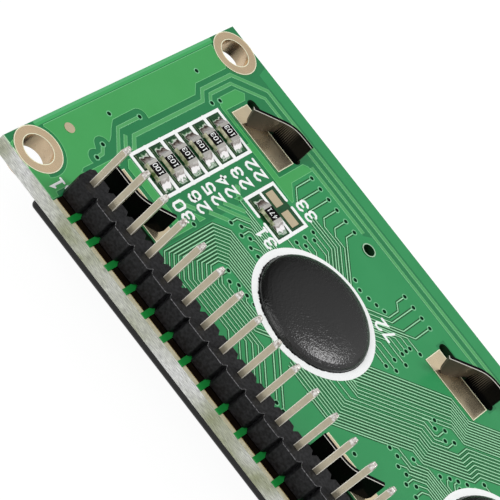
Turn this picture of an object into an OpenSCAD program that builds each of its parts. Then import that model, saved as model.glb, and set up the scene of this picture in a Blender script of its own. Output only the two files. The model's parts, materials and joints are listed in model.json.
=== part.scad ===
// Character display module, seen component side up: the display face lies on
// Z = 0, +Z runs through the board to the header's pin tips, +X is the long side
// and the header lies along the near edge, at -Y.

/* [Board] */
// Length of the circuit board along X
board_len = 80; // [78:0.5:96]
// Width of the circuit board along Y
board_wid = 36; // [35:0.5:44]
// Thickness of the circuit board
board_thick = 1.6; // [1:0.1:2.4]
// Thickness of the copper lands above the laminate
land_thick = 0.08; // [0.05:0.01:0.12]
// Wall of the plating inside every plated hole
plating_wall = 0.08; // [0.05:0.01:0.12]
// Distance of each mounting hole from both board edges
mount_inset = 2.5; // [2.3:0.1:3.2]
// Finished bore of the mounting holes
mount_bore = 3.1; // [2.5:0.1:3.4]
// Outer diameter of the land round each mounting hole
mount_land = 5; // [4.6:0.1:5.6]
// Diameter of the small round register marks
mark_dia = 1.1; // [0.8:0.1:1.5]
// Distance of a register mark from the board's end
mark_inset_x = 2; // [1.5:0.1:3]
// Distance of a register mark from the board's long edge
mark_inset_y = 7.5; // [6:0.5:9]
// Finished bore of the locating hole
locate_bore = 1.3; // [1.1:0.05:1.35]
// Outer diameter of the land round the locating hole
locate_land = 1.56; // [1.52:0.02:2]
// Place of the locating hole along X
locate_x = -14.8; // [-18:0.2:-12]
// Place of the locating hole along Y
locate_y = 12.9; // [12:0.1:14]

/* [Header] */
// Number of pins in the header
pin_count = 16; // [8:1:18]
// Distance from one pin to the next
pin_pitch = 2.54; // [2.54:0.01:2.6]
// Side of a square pin
pin_side = 0.64; // [0.5:0.02:0.66]
// Height of the pin tips above the board
pin_rise = 8; // [6:0.5:11]
// Length of a pin below the board
pin_drop = 1.4; // [1.2:0.1:2]
// Length of the taper at each pin's end
pin_taper = 0.5; // [0.3:0.1:1]
// Side of a pin's blunt end
pin_blunt = 0.4; // [0.2:0.05:0.4]
// Distance of the first pin from the board's end
header_inset_x = 8; // [7:0.5:10]
// Distance of the pin row from the board's long edge
header_inset_y = 2.5; // [2.4:0.1:3]
// Height of the header's plastic
housing_high = 2.54; // [2:0.1:3]
// Width of the header's plastic across the row
housing_wide = 2.5; // [2.2:0.1:2.7]
// Depth of the notches between the blocks
notch_deep = 0.5; // [0.3:0.05:0.7]
// Width of each block's flat face
block_face = 2; // [1.8:0.05:2.2]
// Play between a pin's corners and its plated hole, across the hole
pin_play = 0.095; // [0.05:0.005:0.2]
// Width of each land under the header
header_land_wide = 1.9; // [1.5:0.1:2.1]
// Length of each land under the header
header_land_long = 4.1; // [3:0.1:4.3]
// Diameter of the round lands on the display side
under_land = 1.8; // [1.6:0.1:2.1]
// Height of the solder cones on the display side
joint_high = 0.9; // [0.6:0.1:1.1]
// Thickness of the solder round a pin's corners where a cone ends
joint_wrap = 0.05; // [0.02:0.01:0.1]

/* [Bezel] */
// Outer length of the bezel
bezel_len = 71.2; // [70.4:0.2:73]
// Outer width of the bezel
bezel_wid = 24.5; // [24:0.1:25.5]
// Height of the bezel, from its face to the board
bezel_high = 6.6; // [6:0.1:8]
// How far the bezel sits from the board's middle towards the far edge
bezel_shift = 0.6; // [0:0.1:1]
// Thickness of the bezel's sheet steel
sheet = 0.4; // [0.3:0.05:0.5]
// Radius of the bezel's outer edges
bezel_round = 0.5; // [0.5:0.05:0.8]
// Length of the window
window_len = 64.5; // [60:0.5:65]
// Width of the window
window_wid = 16; // [14:0.5:16.5]
// Radius of the window's corners
window_round = 0.8; // [0.4:0.1:2]
// Number of lock tabs along each long side
tab_count = 3; // [1:1:3]
// Distance from one lock tab to the next
tab_pitch = 29; // [26:0.5:29.5]
// Width of a lock tab's head
tab_head = 7.2; // [6.4:0.1:7.6]
// Width of the neck that passes through the board
tab_neck = 3.5; // [3:0.1:3.6]
// Height of a lock tab above its land
tab_high = 2.3; // [1.8:0.1:3]
// Angle that the free half of a head is bent through, along the far side
tab_bend = 44; // [30:1:55]
// Angle that its foot is folded to beside the neck, along the far side
tab_fold = 68; // [30:1:72]
// The bend along the header's side
tab_bend_near = 38; // [30:1:55]
// The fold along the header's side
tab_fold_near = 34; // [30:1:72]
// Radius of the head's lower free corner
tab_corner = 0.5; // [0.2:0.1:0.8]
// Clearance between a tab and the sides of its slot
slot_side_gap = 0.375; // [0.3:0.025:0.5]
// Clearance between a tab head and the ends of its slot
slot_end_gap = 0.25; // [0.2:0.05:0.4]
// Length of the land beside each slot
tab_land_long = 7.1; // [6.5:0.1:7.6]
// Width of the land beside each slot
tab_land_wide = 2.65; // [2.2:0.05:3]
// Distance between a slot and its land
tab_land_gap = 0.12; // [0.1:0.02:0.3]

/* [Display stack] */
// Clearance between the front glass and the bezel's walls
glass_gap = 0.4; // [0.3:0.05:0.8]
// Thickness of each polariser
polariser_thick = 0.2; // [0.15:0.05:0.3]
// Thickness of each sheet of glass
glass_thick = 1.1; // [0.7:0.1:1.1]
// Thickness of the seal between the sheets of glass
seal_thick = 0.1; // [0.05:0.05:0.15]
// Width of the seal
seal_wide = 1; // [0.6:0.1:1.5]
// Width of the front glass's two contact ledges
ledge = 2.8; // [2.6:0.1:3]
// How much the polarisers are smaller than the glass at each side
polariser_inset = 0.5; // [0.3:0.1:0.8]
// Width of each conductive rubber strip
strip_wide = 1.8; // [1.4:0.1:1.9]
// Clearance between a rubber strip and the rear glass
strip_gap = 0.4; // [0.3:0.05:0.5]
// Length left free at each end of a rubber strip
strip_inset = 2; // [1:0.5:4]
// Thickness of the diffuser film
diffuser_thick = 0.2; // [0.1:0.05:0.3]
// Thickness of the white reflector
reflector_thick = 0.3; // [0.2:0.05:0.5]
// Length of the lamp along X
lamp_long = 2.2; // [1.8:0.1:2.6]
// Width of the lamp along Y
lamp_wide = 14; // [12:0.5:15]
// Clearance between the lamp and the light guide
lamp_gap = 0.3; // [0.3:0.05:0.5]
// Distance between the lamp's two leads
lead_spread = 10; // [6:0.5:11]
// Side of a lamp lead
lead_side = 0.5; // [0.4:0.02:0.56]
// Play between a lead's corners and its plated hole, across the hole
lead_play = 0.2; // [0.1:0.02:0.3]
// Diameter of the lands round the lead holes
lead_land = 2; // [1.8:0.1:2.2]
// Height of the lead ends above the board
lead_rise = 1.2; // [1:0.1:1.6]

/* [Chips and resistors] */
// Radius of each epoxy dome
dome_radius = 6.1; // [5:0.1:6.5]
// Height of each epoxy dome
dome_high = 1.5; // [1:0.1:2]
// Place of the controller's dome along X
controller_x = -12.75; // [-13.5:0.25:-11]
// Place of the driver's dome along X
driver_x = 14.1; // [12:0.1:16]
// Place of the controller's dome along Y
controller_y = 0.55; // [0:0.05:1]
// Place of the driver's dome along Y
driver_y = -0.4; // [-1:0.1:1]
// Length of a chip resistor
chip_long = 2; // [1.8:0.05:2.2]
// Width of a chip resistor
chip_wide = 1.25; // [1:0.05:1.4]
// Thickness of a chip resistor
chip_thick = 0.55; // [0.45:0.05:0.65]
// Thickness of a chip's end plating and top coat
chip_skin = 0.06; // [0.04:0.01:0.08]
// Length that the end plating reaches over a chip
chip_wrap = 0.35; // [0.25:0.05:0.45]
// Length of a resistor land
chip_land_long = 1.45; // [1.3:0.05:1.6]
// Width of a resistor land
chip_land_wide = 1.5; // [1.4:0.05:1.7]
// Distance between a resistor's two lands
chip_land_space = 1.4; // [1.2:0.05:1.6]
// Number of resistors in the bank
bank_count = 6; // [1:1:6]
// Distance from one resistor of the bank to the next
bank_pitch = 2.33; // [2.2:0.01:2.35]
// Place of the bank along X
bank_x = -30.95; // [-32:0.05:-30]
// Place of the bank's first resistor along Y
bank_y = 6.6; // [6:0.1:6.8]
// Place of the single resistor along X
single_x = -22.35; // [-23:0.05:-22]
// Place of the single resistor along Y
single_y = 4; // [3.5:0.1:4.3]
// Distance from the single resistor to the bare lands beside it
bare_pitch = 2.3; // [2.2:0.05:2.6]
// Length of a bare land
bare_land_long = 1.68; // [1.4:0.02:1.8]
// Width of a bare land
bare_land_wide = 1.15; // [1:0.05:1.3]
// Distance between the two bare lands
bare_land_space = 0.65; // [0.5:0.05:0.9]

/* [Hidden] */

$fn = 48;
fine = 96;                         // facets of the domes
over = 1;                          // how far a cut runs past what it cuts
half = 0.5;

// Levels
face_z = 0;
under_z = bezel_high;              // display side of the board
top_z = under_z + board_thick;     // component side of the board
land_z = top_z + land_thick;       // top of the lands
tip_z = top_z + pin_rise;

// Board places
mount_dx = board_len / 2 - mount_inset;
mount_dy = board_wid / 2 - mount_inset;
mark_dx = board_len / 2 - mark_inset_x;
mark_dy = board_wid / 2 - mark_inset_y;
corners = [[-1, -1], [-1, 1], [1, -1], [1, 1]];
ends = [-1, 1];

// A square pin in a round hole: the hole clears the pin's corners
diagonal = sqrt(2);
pin_bore = pin_side * diagonal + pin_play;
joint_tip = pin_side * diagonal / 2 + joint_wrap;
lead_bore = lead_side * diagonal + lead_play;

// Header places
pin_x0 = -board_len / 2 + header_inset_x;
pin_y = -board_wid / 2 + header_inset_y;
pin_xs = [for (i = [0 : pin_count - 1]) pin_x0 + i * pin_pitch];

// Bezel places: the slots lie in the plane of the bezel's long walls
slot_dy = bezel_wid / 2 - sheet / 2;
slot_long = tab_head + 2 * slot_end_gap;
slot_wide = sheet + 2 * slot_side_gap;
tab_xs = [for (i = [0 : tab_count - 1]) (i - (tab_count - 1) / 2) * tab_pitch];
sides = [0, 180];                  // turn of the far side and the near side
tab_land_dy = slot_dy - slot_wide / 2 - tab_land_gap - tab_land_wide / 2;

// Display stack, from the bezel's face up to the board
glass_len = bezel_len - 2 * sheet - 2 * glass_gap;
glass_wid = bezel_wid - 2 * sheet - 2 * glass_gap;
cell_wid = glass_wid - 2 * ledge;
pol_front_z = face_z + sheet;
glass_front_z = pol_front_z + polariser_thick;
seal_z = glass_front_z + glass_thick;
glass_rear_z = seal_z + seal_thick;
pol_rear_z = glass_rear_z + glass_thick;
diffuser_z = pol_rear_z + polariser_thick;
guide_z = diffuser_z + diffuser_thick;
reflector_z = under_z - reflector_thick;
pol_len = glass_len - 2 * polariser_inset;
pol_wid = cell_wid - 2 * polariser_inset;
strip_dy = cell_wid / 2 + strip_gap + strip_wide / 2;
strip_len = glass_len - 2 * strip_inset;
lamp_x = pol_len / 2 - lamp_long / 2;
guide_long = pol_len - lamp_long - lamp_gap;
guide_x = -(lamp_long + lamp_gap) / 2;
lamp_top = under_z - land_thick;
lead_bare = 0.2;                   // end of a lead that stands clear of its solder

// Resistors
chip_z = land_z;
bank_places = [for (i = [0 : bank_count - 1]) [bank_x, bank_y - i * bank_pitch]];
single_place = [single_x, single_y];
chip_places = concat(bank_places, [single_place]);
chip_land_dx = (chip_land_space + chip_land_long) / 2;
bare_land_dx = (bare_land_space + bare_land_long) / 2;
bare_place = [single_x, single_y + bare_pitch];
solder_foot = chip_land_space / 2 + chip_land_long;   // outer end of a land
solder_steps = 6;
solder_lip = 0.05;                 // thickness of the solder at its foot
solder_rise = 0.9;                 // share of a chip's end that the solder climbs

// Lock tab: stations along the head, where the foot folds and where it eases to the
// head's bend, and where the top edge starts and ends its bend on each side
stations = 36;
fold_span = [0.48, 0.57];
ease_span = [0.57, 0.98];
far_span = [0.12, 0.56];
near_span = [0.3, 0.72];
far_twist = [tab_fold, tab_bend, far_span];
near_twist = [tab_fold_near, tab_bend_near, near_span];
head_step = tab_head / stations;

function ease(t) = let (c = min(1, max(0, t))) c * c * (3 - 2 * c);
function part_way(span, i) = ease((i / stations - span[0]) / (span[1] - span[0]));
function foot_heading(twist, i) = twist[0] * part_way(fold_span, i)
    - (twist[0] - twist[1]) * part_way(ease_span, i);
function top_heading(twist, i) = twist[1] * part_way(twist[2], i);
function step_to(angle) = head_step * [cos(angle), sin(angle)];
function foot_at(twist, i) = i == 0 ? [0, 0]
    : foot_at(twist, i - 1) + step_to(foot_heading(twist, i - half));
function top_at(twist, i) = i == 0 ? [0, 0]
    : top_at(twist, i - 1) + step_to(top_heading(twist, i - half));
function across(angle) = sheet / 2 * [-sin(angle), cos(angle)];
function foot_lift(i) = let (d = i * head_step - (tab_head - tab_corner))
    d <= 0 ? 0 : tab_corner - sqrt(max(0, tab_corner * tab_corner - d * d));

function ring_at(twist, i) = let (f = foot_at(twist, i), t = top_at(twist, i),
        a = across(foot_heading(twist, i)), b = across(top_heading(twist, i)))
    [concat(f - a, foot_lift(i)), concat(f + a, foot_lift(i)),
     concat(t + b, tab_high), concat(t - b, tab_high)];

// ---- shared shapes ----

module slab(size, z, x = 0, y = 0) {
    translate([x, y, z + size[2] / 2]) cube(size, center = true);
}

module post(d, z0, z1, x = 0, y = 0) {
    translate([x, y, z0]) cylinder(d = d, h = z1 - z0);
}

module slot_shape(long, wide, high) {
    cube([long - wide, wide, high], center = true);
    for (s = ends) translate([s * (long - wide) / 2, 0, 0])
        cylinder(d = wide, h = high, center = true);
}

module round_plate(long, wide, r, high) {
    cube([long - 2 * r, wide, high], center = true);
    cube([long, wide - 2 * r, high], center = true);
    for (c = corners) translate([c[0] * (long / 2 - r), c[1] * (wide / 2 - r), 0])
        cylinder(r = r, h = high, center = true);
}

module at_mounts() {
    for (c = corners) translate([c[0] * mount_dx, c[1] * mount_dy, 0]) children();
}

module at_pins() {
    for (x = pin_xs) translate([x, pin_y, 0]) children();
}

module at_tabs(turns = sides) {
    for (turn = turns) translate([0, bezel_shift, 0]) rotate([0, 0, turn])
        for (x = tab_xs) translate([x, slot_dy, 0]) children();
}

module at_leads() {
    for (s = ends) translate([lamp_x, bezel_shift + s * lead_spread / 2, 0]) children();
}

module at_chips() {
    for (p = chip_places) translate([p[0], p[1], 0]) children();
}

// A plated hole: the barrel through the board and a round land on both sides
module plated_hole(bore, land_top, land_under) {
    difference() {
        union() {
            post(bore + 2 * plating_wall, under_z, top_z);
            post(land_top, top_z, land_z);
            post(land_under, under_z - land_thick, under_z);
        }
        post(bore, under_z - over, land_z + over);
    }
}

// ---- board and lands ----

module board() {
    color([0.18, 0.5, 0.32]) difference() {
        slab([board_len, board_wid, board_thick], under_z);
        at_mounts() post(mount_bore + 2 * plating_wall, under_z - over, top_z + over);
        at_pins() post(pin_bore + 2 * plating_wall, under_z - over, top_z + over);
        at_leads() post(lead_bore + 2 * plating_wall, under_z - over, top_z + over);
        post(locate_bore + 2 * plating_wall, under_z - over, top_z + over, locate_x, locate_y);
        at_tabs() translate([0, 0, (under_z + top_z) / 2])
            slot_shape(slot_long, slot_wide, board_thick + 2 * over);
    }
}

// The lands round the mounting holes end where the board ends
module mounting_rings() {
    color([0.86, 0.72, 0.5]) intersection() {
        at_mounts() plated_hole(mount_bore, mount_land, mount_land);
        slab([board_len, board_wid, board_thick + 2 * over], under_z - over);
    }
}

module header_lands() {
    color([0.86, 0.72, 0.5]) at_pins() difference() {
        union() {
            plated_hole(pin_bore, pin_bore + 2 * plating_wall, under_land);
            slab([header_land_wide, header_land_long, land_thick], top_z);
        }
        post(pin_bore, under_z - over, land_z + over);
    }
}

module tab_lands() {
    color([0.86, 0.72, 0.5])
        for (turn = sides) translate([0, bezel_shift, 0]) rotate([0, 0, turn])
            for (x = tab_xs) slab([tab_land_long, tab_land_wide, land_thick], top_z,
                x, tab_land_dy);
}

module register_marks() {
    color([0.86, 0.72, 0.5]) for (s = ends)
        post(mark_dia, top_z, land_z, s * mark_dx, s * mark_dy);
}

// The bezel's wall bears on the board below this hole, so it has no land there
module locating_ring() {
    color([0.86, 0.72, 0.5]) translate([locate_x, locate_y, 0]) difference() {
        union() {
            post(locate_bore + 2 * plating_wall, under_z, top_z);
            post(locate_land, top_z, land_z);
        }
        post(locate_bore, under_z - over, land_z + over);
    }
}

module lamp_lands() {
    color([0.86, 0.72, 0.5]) at_leads() plated_hole(lead_bore, lead_land, lead_land);
}

module resistor_lands() {
    color([0.86, 0.72, 0.5]) {
        at_chips() for (s = ends)
            slab([chip_land_long, chip_land_wide, land_thick], top_z, s * chip_land_dx);
        for (s = ends)
            slab([bare_land_long, bare_land_wide, land_thick], top_z,
                bare_place[0] + s * bare_land_dx, bare_place[1]);
    }
}

// ---- bezel ----

// The open tray that the sheet is drawn into, with round outer edges
module tray() {
    dx = bezel_len / 2 - bezel_round;
    dy = bezel_wid / 2 - bezel_round;
    wall_high = bezel_high - bezel_round;
    slab([2 * dx, 2 * dy, bezel_high], face_z);
    slab([bezel_len, 2 * dy, wall_high], face_z + bezel_round);
    slab([2 * dx, bezel_wid, wall_high], face_z + bezel_round);
    for (c = corners) translate([c[0] * dx, c[1] * dy, face_z + bezel_round]) {
        sphere(r = bezel_round);
        cylinder(r = bezel_round, h = wall_high);
    }
    for (s = ends) translate([0, s * dy, face_z + bezel_round]) rotate([0, 90, 0])
        cylinder(r = bezel_round, h = 2 * dx, center = true);
    for (s = ends) translate([s * dx, 0, face_z + bezel_round]) rotate([90, 0, 0])
        cylinder(r = bezel_round, h = 2 * dy, center = true);
}

// One lock tab: the neck passes through its slot, and the free half of the head
// is twisted inwards until its foot bears on the land
module lock_tab(twist) {
    rings = [for (i = [0 : stations]) ring_at(twist, i)];
    points = [for (r = rings) each r];
    sides_of_head = [for (i = [0 : stations - 1], k = [0 : 3])
        let (a = 4 * i + k, b = 4 * i + (k + 1) % 4) each [[a, b + 4, b], [a, a + 4, b + 4]]];
    start = [[0, 1, 2], [0, 2, 3]];
    last = 4 * stations;
    finish = [[last, last + 2, last + 1], [last, last + 3, last + 2]];
    neck_foot = min(half, bezel_high / 2);
    neck_in_head = sheet / 2;
    translate([tab_head / 2, 0, land_z]) rotate([0, 0, 180])
        polyhedron(points, concat(sides_of_head, start, finish));
    slab([tab_neck, sheet, land_z - under_z + neck_foot + neck_in_head],
        under_z - neck_foot, (tab_head - tab_neck) / 2);
}

module bezel() {
    inner = [bezel_len - 2 * sheet, bezel_wid - 2 * sheet, bezel_high];
    color([0.08, 0.08, 0.09]) {
        translate([0, bezel_shift, 0]) difference() {
            tray();
            slab(inner, face_z + sheet);
            translate([0, 0, face_z + sheet / 2])
                round_plate(window_len, window_wid, window_round, sheet + 2 * over);
        }
        at_tabs([sides[0]]) lock_tab(far_twist);
        at_tabs([sides[1]]) lock_tab(near_twist);
    }
}

// ---- display stack ----

module front_polariser() {
    color([0.35, 0.4, 0.3])
        slab([pol_len, pol_wid, polariser_thick], pol_front_z, 0, bezel_shift);
}

module front_glass() {
    color([0.75, 0.85, 0.8])
        slab([glass_len, glass_wid, glass_thick], glass_front_z, 0, bezel_shift);
}

module cell_seal() {
    outer = [glass_len - 2 * polariser_inset, cell_wid - 2 * polariser_inset, seal_thick];
    color([0.85, 0.85, 0.8]) translate([0, bezel_shift, 0]) difference() {
        slab(outer, seal_z);
        slab([outer[0] - 2 * seal_wide, outer[1] - 2 * seal_wide, seal_thick + 2 * over],
            seal_z - over);
    }
}

module rear_glass() {
    color([0.75, 0.85, 0.8])
        slab([glass_len, cell_wid, glass_thick], glass_rear_z, 0, bezel_shift);
}

module rear_polariser() {
    color([0.35, 0.4, 0.3])
        slab([pol_len, pol_wid, polariser_thick], pol_rear_z, 0, bezel_shift);
}

module diffuser_film() {
    color([0.95, 0.95, 0.92])
        slab([guide_long, pol_wid, diffuser_thick], diffuser_z, guide_x, bezel_shift);
}

module light_guide() {
    color([0.9, 0.93, 0.9])
        slab([guide_long, pol_wid, reflector_z - guide_z], guide_z, guide_x, bezel_shift);
}

module reflector() {
    color([0.97, 0.97, 0.97])
        slab([guide_long, pol_wid, reflector_thick], reflector_z, guide_x, bezel_shift);
}

module contact_strip(side) {
    color([0.2, 0.2, 0.22])
        slab([strip_len, strip_wide, under_z - seal_z], seal_z, 0,
            bezel_shift + side * strip_dy);
}

module contact_strip_near() { contact_strip(-1); }
module contact_strip_far() { contact_strip(1); }

// The lamp stands up to the lands on the board's display side
module lamp() {
    color([0.95, 0.95, 0.9])
        slab([lamp_long, lamp_wide, lamp_top - diffuser_z], diffuser_z, lamp_x, bezel_shift);
}

module lamp_leads() {
    color([0.8, 0.78, 0.74]) at_leads()
        slab([lead_side, lead_side, top_z + lead_rise - lamp_top], lamp_top);
}

// Solder fills the hole round each lead and rises to a cone above the land
module lamp_joints() {
    cone_high = lead_rise - land_thick - lead_bare;
    color([0.78, 0.78, 0.76]) at_leads() difference() {
        union() {
            post(lead_bore, lamp_top, land_z);
            translate([0, 0, land_z])
                cylinder(d1 = lead_land, d2 = lead_bore, h = cone_high);
        }
        slab([lead_side, lead_side, board_thick + lead_rise + 2 * over], under_z - over);
    }
}

// ---- header ----

// Plan outline of one block: square, with its four corners cut back
module block_outline() {
    hx = pin_pitch / 2;
    hy = housing_wide / 2;
    fx = block_face / 2;
    nx = hy - notch_deep;
    polygon([[-fx, -hy], [fx, -hy], [hx, -nx], [hx, nx],
        [fx, hy], [-fx, hy], [-hx, nx], [-hx, -nx]]);
}

module header_housing() {
    color([0.12, 0.12, 0.13]) difference() {
        translate([0, 0, land_z]) linear_extrude(housing_high)
            at_pins() block_outline();
        at_pins() slab([pin_side, pin_side, housing_high + 2 * over], land_z - over);
    }
}

// A square pin with a blunt taper at both ends
module pin() {
    root_z = under_z - pin_drop;
    slab([pin_side, pin_side, tip_z - root_z - 2 * pin_taper], root_z + pin_taper);
    translate([0, 0, tip_z - pin_taper]) rotate([0, 0, 45])
        cylinder(d1 = pin_side * diagonal, d2 = pin_blunt * diagonal, h = pin_taper, $fn = 4);
    translate([0, 0, root_z]) rotate([0, 0, 45])
        cylinder(d1 = pin_blunt * diagonal, d2 = pin_side * diagonal, h = pin_taper, $fn = 4);
}

module header_pins() {
    color([0.8, 0.76, 0.7]) at_pins() pin();
}

module header_joints() {
    cone_z = under_z - land_thick;
    color([0.78, 0.78, 0.76]) at_pins() difference() {
        union() {
            post(pin_bore, cone_z, land_z);
            translate([0, 0, cone_z - joint_high])
                cylinder(r1 = joint_tip, d2 = under_land, h = joint_high);
        }
        pin();
    }
}

// ---- chips and resistors ----

// Epoxy that has flowed out to a round dome over a chip
module dome() {
    steps = 12;
    shoulder = 0.75;
    profile = [for (i = [0 : steps]) let (a = 90 * i / steps)
        [dome_radius * cos(a), dome_high * pow(sin(a), shoulder)]];
    color([0.06, 0.06, 0.07]) translate([0, 0, top_z])
        rotate_extrude($fn = fine) polygon(concat([[0, 0]], profile));
}

module controller_dome() { translate([controller_x, controller_y, 0]) dome(); }
module driver_dome() { translate([driver_x, driver_y, 0]) dome(); }

// A chip resistor's ceramic body, between its end plating and under its coat
module chip_body(place) {
    color([0.8, 0.82, 0.62]) translate([place[0], place[1], 0])
        slab([chip_long - 2 * chip_skin, chip_wide, chip_thick - 2 * chip_skin],
            chip_z + chip_skin);
}

module resistor_1() { if (bank_count > 0) chip_body(bank_places[0]); }
module resistor_2() { if (bank_count > 1) chip_body(bank_places[1]); }
module resistor_3() { if (bank_count > 2) chip_body(bank_places[2]); }
module resistor_4() { if (bank_count > 3) chip_body(bank_places[3]); }
module resistor_5() { if (bank_count > 4) chip_body(bank_places[4]); }
module resistor_6() { chip_body(single_place); }
module resistor_7() { if (bank_count > 5) chip_body(bank_places[5]); }

module resistor_coats() {
    color([0.07, 0.07, 0.08]) at_chips()
        slab([chip_long - 2 * chip_wrap, chip_wide, chip_skin],
            chip_z + chip_thick - chip_skin);
}

module resistor_ends() {
    color([0.75, 0.75, 0.74]) at_chips() for (s = ends) difference() {
        slab([chip_wrap, chip_wide, chip_thick], chip_z, s * (chip_long - chip_wrap) / 2);
        slab([chip_long - 2 * chip_skin, chip_wide + 2 * over, chip_thick - 2 * chip_skin],
            chip_z + chip_skin);
    }
}

// Solder that has climbed each chip's ends in a hollow curve from the land
module fillet_outline() {
    run = solder_foot - chip_long / 2;
    rise = chip_thick * solder_rise;
    curve = [for (i = [0 : solder_steps]) let (t = i / solder_steps)
        [chip_long / 2 + run * t, solder_lip + (rise - solder_lip) * pow(1 - t, 2)]];
    polygon(concat([[chip_long / 2, 0]], curve, [[solder_foot, 0]]));
}

module resistor_solder() {
    color([0.78, 0.78, 0.76]) at_chips() for (turn = sides) rotate([0, 0, turn])
        translate([0, chip_wide / 2, chip_z]) rotate([90, 0, 0])
            linear_extrude(chip_wide) fillet_outline();
}

board();
mounting_rings();
header_lands();
tab_lands();
register_marks();
locating_ring();
lamp_lands();
resistor_lands();
bezel();
front_polariser();
front_glass();
cell_seal();
rear_glass();
rear_polariser();
diffuser_film();
light_guide();
reflector();
contact_strip_near();
contact_strip_far();
lamp();
lamp_leads();
lamp_joints();
header_housing();
header_pins();
header_joints();
controller_dome();
driver_dome();
resistor_1();
resistor_2();
resistor_3();
resistor_4();
resistor_5();
resistor_6();
resistor_7();
resistor_coats();
resistor_ends();
resistor_solder();
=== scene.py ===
import json
import logging
import math
import random
from dataclasses import dataclass, field
from enum import Enum

import bmesh
import bpy
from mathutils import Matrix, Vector
from mathutils.geometry import tessellate_polygon

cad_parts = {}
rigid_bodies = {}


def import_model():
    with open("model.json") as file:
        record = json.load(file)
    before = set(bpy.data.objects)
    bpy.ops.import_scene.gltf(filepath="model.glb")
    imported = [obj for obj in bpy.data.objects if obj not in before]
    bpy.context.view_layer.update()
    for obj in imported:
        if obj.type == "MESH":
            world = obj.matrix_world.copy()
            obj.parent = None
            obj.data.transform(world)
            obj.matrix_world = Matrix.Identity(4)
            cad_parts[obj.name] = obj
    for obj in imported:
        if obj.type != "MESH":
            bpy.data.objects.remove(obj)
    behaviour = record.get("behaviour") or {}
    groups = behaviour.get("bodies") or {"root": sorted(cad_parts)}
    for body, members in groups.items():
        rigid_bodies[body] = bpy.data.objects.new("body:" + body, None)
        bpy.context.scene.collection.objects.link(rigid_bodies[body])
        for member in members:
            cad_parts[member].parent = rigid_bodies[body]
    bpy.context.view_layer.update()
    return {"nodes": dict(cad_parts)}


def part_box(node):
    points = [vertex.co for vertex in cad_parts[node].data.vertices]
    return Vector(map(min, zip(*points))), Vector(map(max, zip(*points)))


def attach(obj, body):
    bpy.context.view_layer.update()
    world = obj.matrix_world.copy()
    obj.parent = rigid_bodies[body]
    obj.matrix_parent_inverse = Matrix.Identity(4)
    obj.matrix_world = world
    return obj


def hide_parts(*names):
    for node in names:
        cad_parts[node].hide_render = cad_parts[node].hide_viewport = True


for left_over in list(bpy.data.objects):
    bpy.data.objects.remove(left_over)
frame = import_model()

MM = 0.001
BODY = "root"
FIXED_SEED = 7
LEVEL_LIMIT = 0.5
DRIFT_SPAN = (0.35, 0.65)
SHEEN_SPAN = (0.3, 0.7)
PRINT_LAYERS = 3
PRINT_STEP = 0.03
STAGGER_COUNT = 5
MITRE_LIMIT = 0.4
CAP_STEPS = 6
DIGIT_GAP = 1.9

Colour = tuple[float, float, float]
Point = tuple[float, float]
Path = list[Point]

log = logging.getLogger("display_module")


# ---- node trees ----

class Wiring:
    """Places and joins the nodes of one tree."""

    def __init__(self, tree: bpy.types.NodeTree) -> None:
        """Keeps the tree that the nodes go into."""
        self.tree = tree

    def put(self, kind: str, joins: dict | None = None, **settings: object) -> bpy.types.Node:
        """Adds one node.

        Args:
            kind: Blender's name of the node type.
            joins: input name or number, and the socket or plain value that feeds it.
            settings: the node's own properties.

        Returns:
            The new node.
        """
        node = self.tree.nodes.new(kind)
        for name, value in settings.items():
            setattr(node, name, value)
        for key, value in (joins or {}).items():
            socket = node.inputs[key]
            if isinstance(value, bpy.types.NodeSocket):
                self.tree.links.new(value, socket)
            else:
                socket.default_value = value
        return node

    def calc(self, operation: str, *values: object) -> bpy.types.NodeSocket:
        """Adds one Math node and returns its output."""
        return self.put("ShaderNodeMath", dict(enumerate(values)), operation=operation).outputs[0]

    def times(self, *values: object) -> bpy.types.NodeSocket:
        """Multiplies two or more values.

        Args:
            values: two or more sockets or plain values.

        Returns:
            The socket of their product.
        """
        product, *others = values
        for value in others:
            product = self.calc("MULTIPLY", product, value)
        return product

    def ramp(self, value: object, low: float, high: float, start: object = 0.0, end: object = 1.0,
             **settings: object) -> bpy.types.NodeSocket:
        """Spreads a value between low and high over the range from start to end."""
        joins = {0: value, 1: low, 2: high, 3: start, 4: end}
        return self.put("ShaderNodeMapRange", joins, **settings).outputs[0]

    def split(self, kind: str) -> bpy.types.NodeOutputs:
        """Adds one kind of coordinates, split into x, y and z."""
        whole = self.put("ShaderNodeTexCoord").outputs[kind]
        return self.put("ShaderNodeSeparateXYZ", {0: whole}).outputs

    def level(self) -> bpy.types.NodeSocket:
        """Returns 1 on faces that lie level and 0 on upright ones."""
        steep = self.calc("ABSOLUTE", self.split("Normal")[2])
        return self.calc("GREATER_THAN", steep, LEVEL_LIMIT)

    def mix(self, share: object, first: object, second: object) -> bpy.types.NodeSocket:
        """Adds one colour mix and returns the mixed colour."""
        joins = {0: share, 6: first, 7: second}
        return self.put("ShaderNodeMix", joins, data_type="RGBA").outputs[2]


def rgba(colour: Colour) -> tuple[float, float, float, float]:
    """Returns a colour with full cover added."""
    return (*colour, 1.0)


class Effect(Enum):
    """The shader groups that several finishes share."""

    DRIFT = "colour_drift"
    SHEEN = "sheen_drift"
    GRAIN = "fine_grain"


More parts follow.
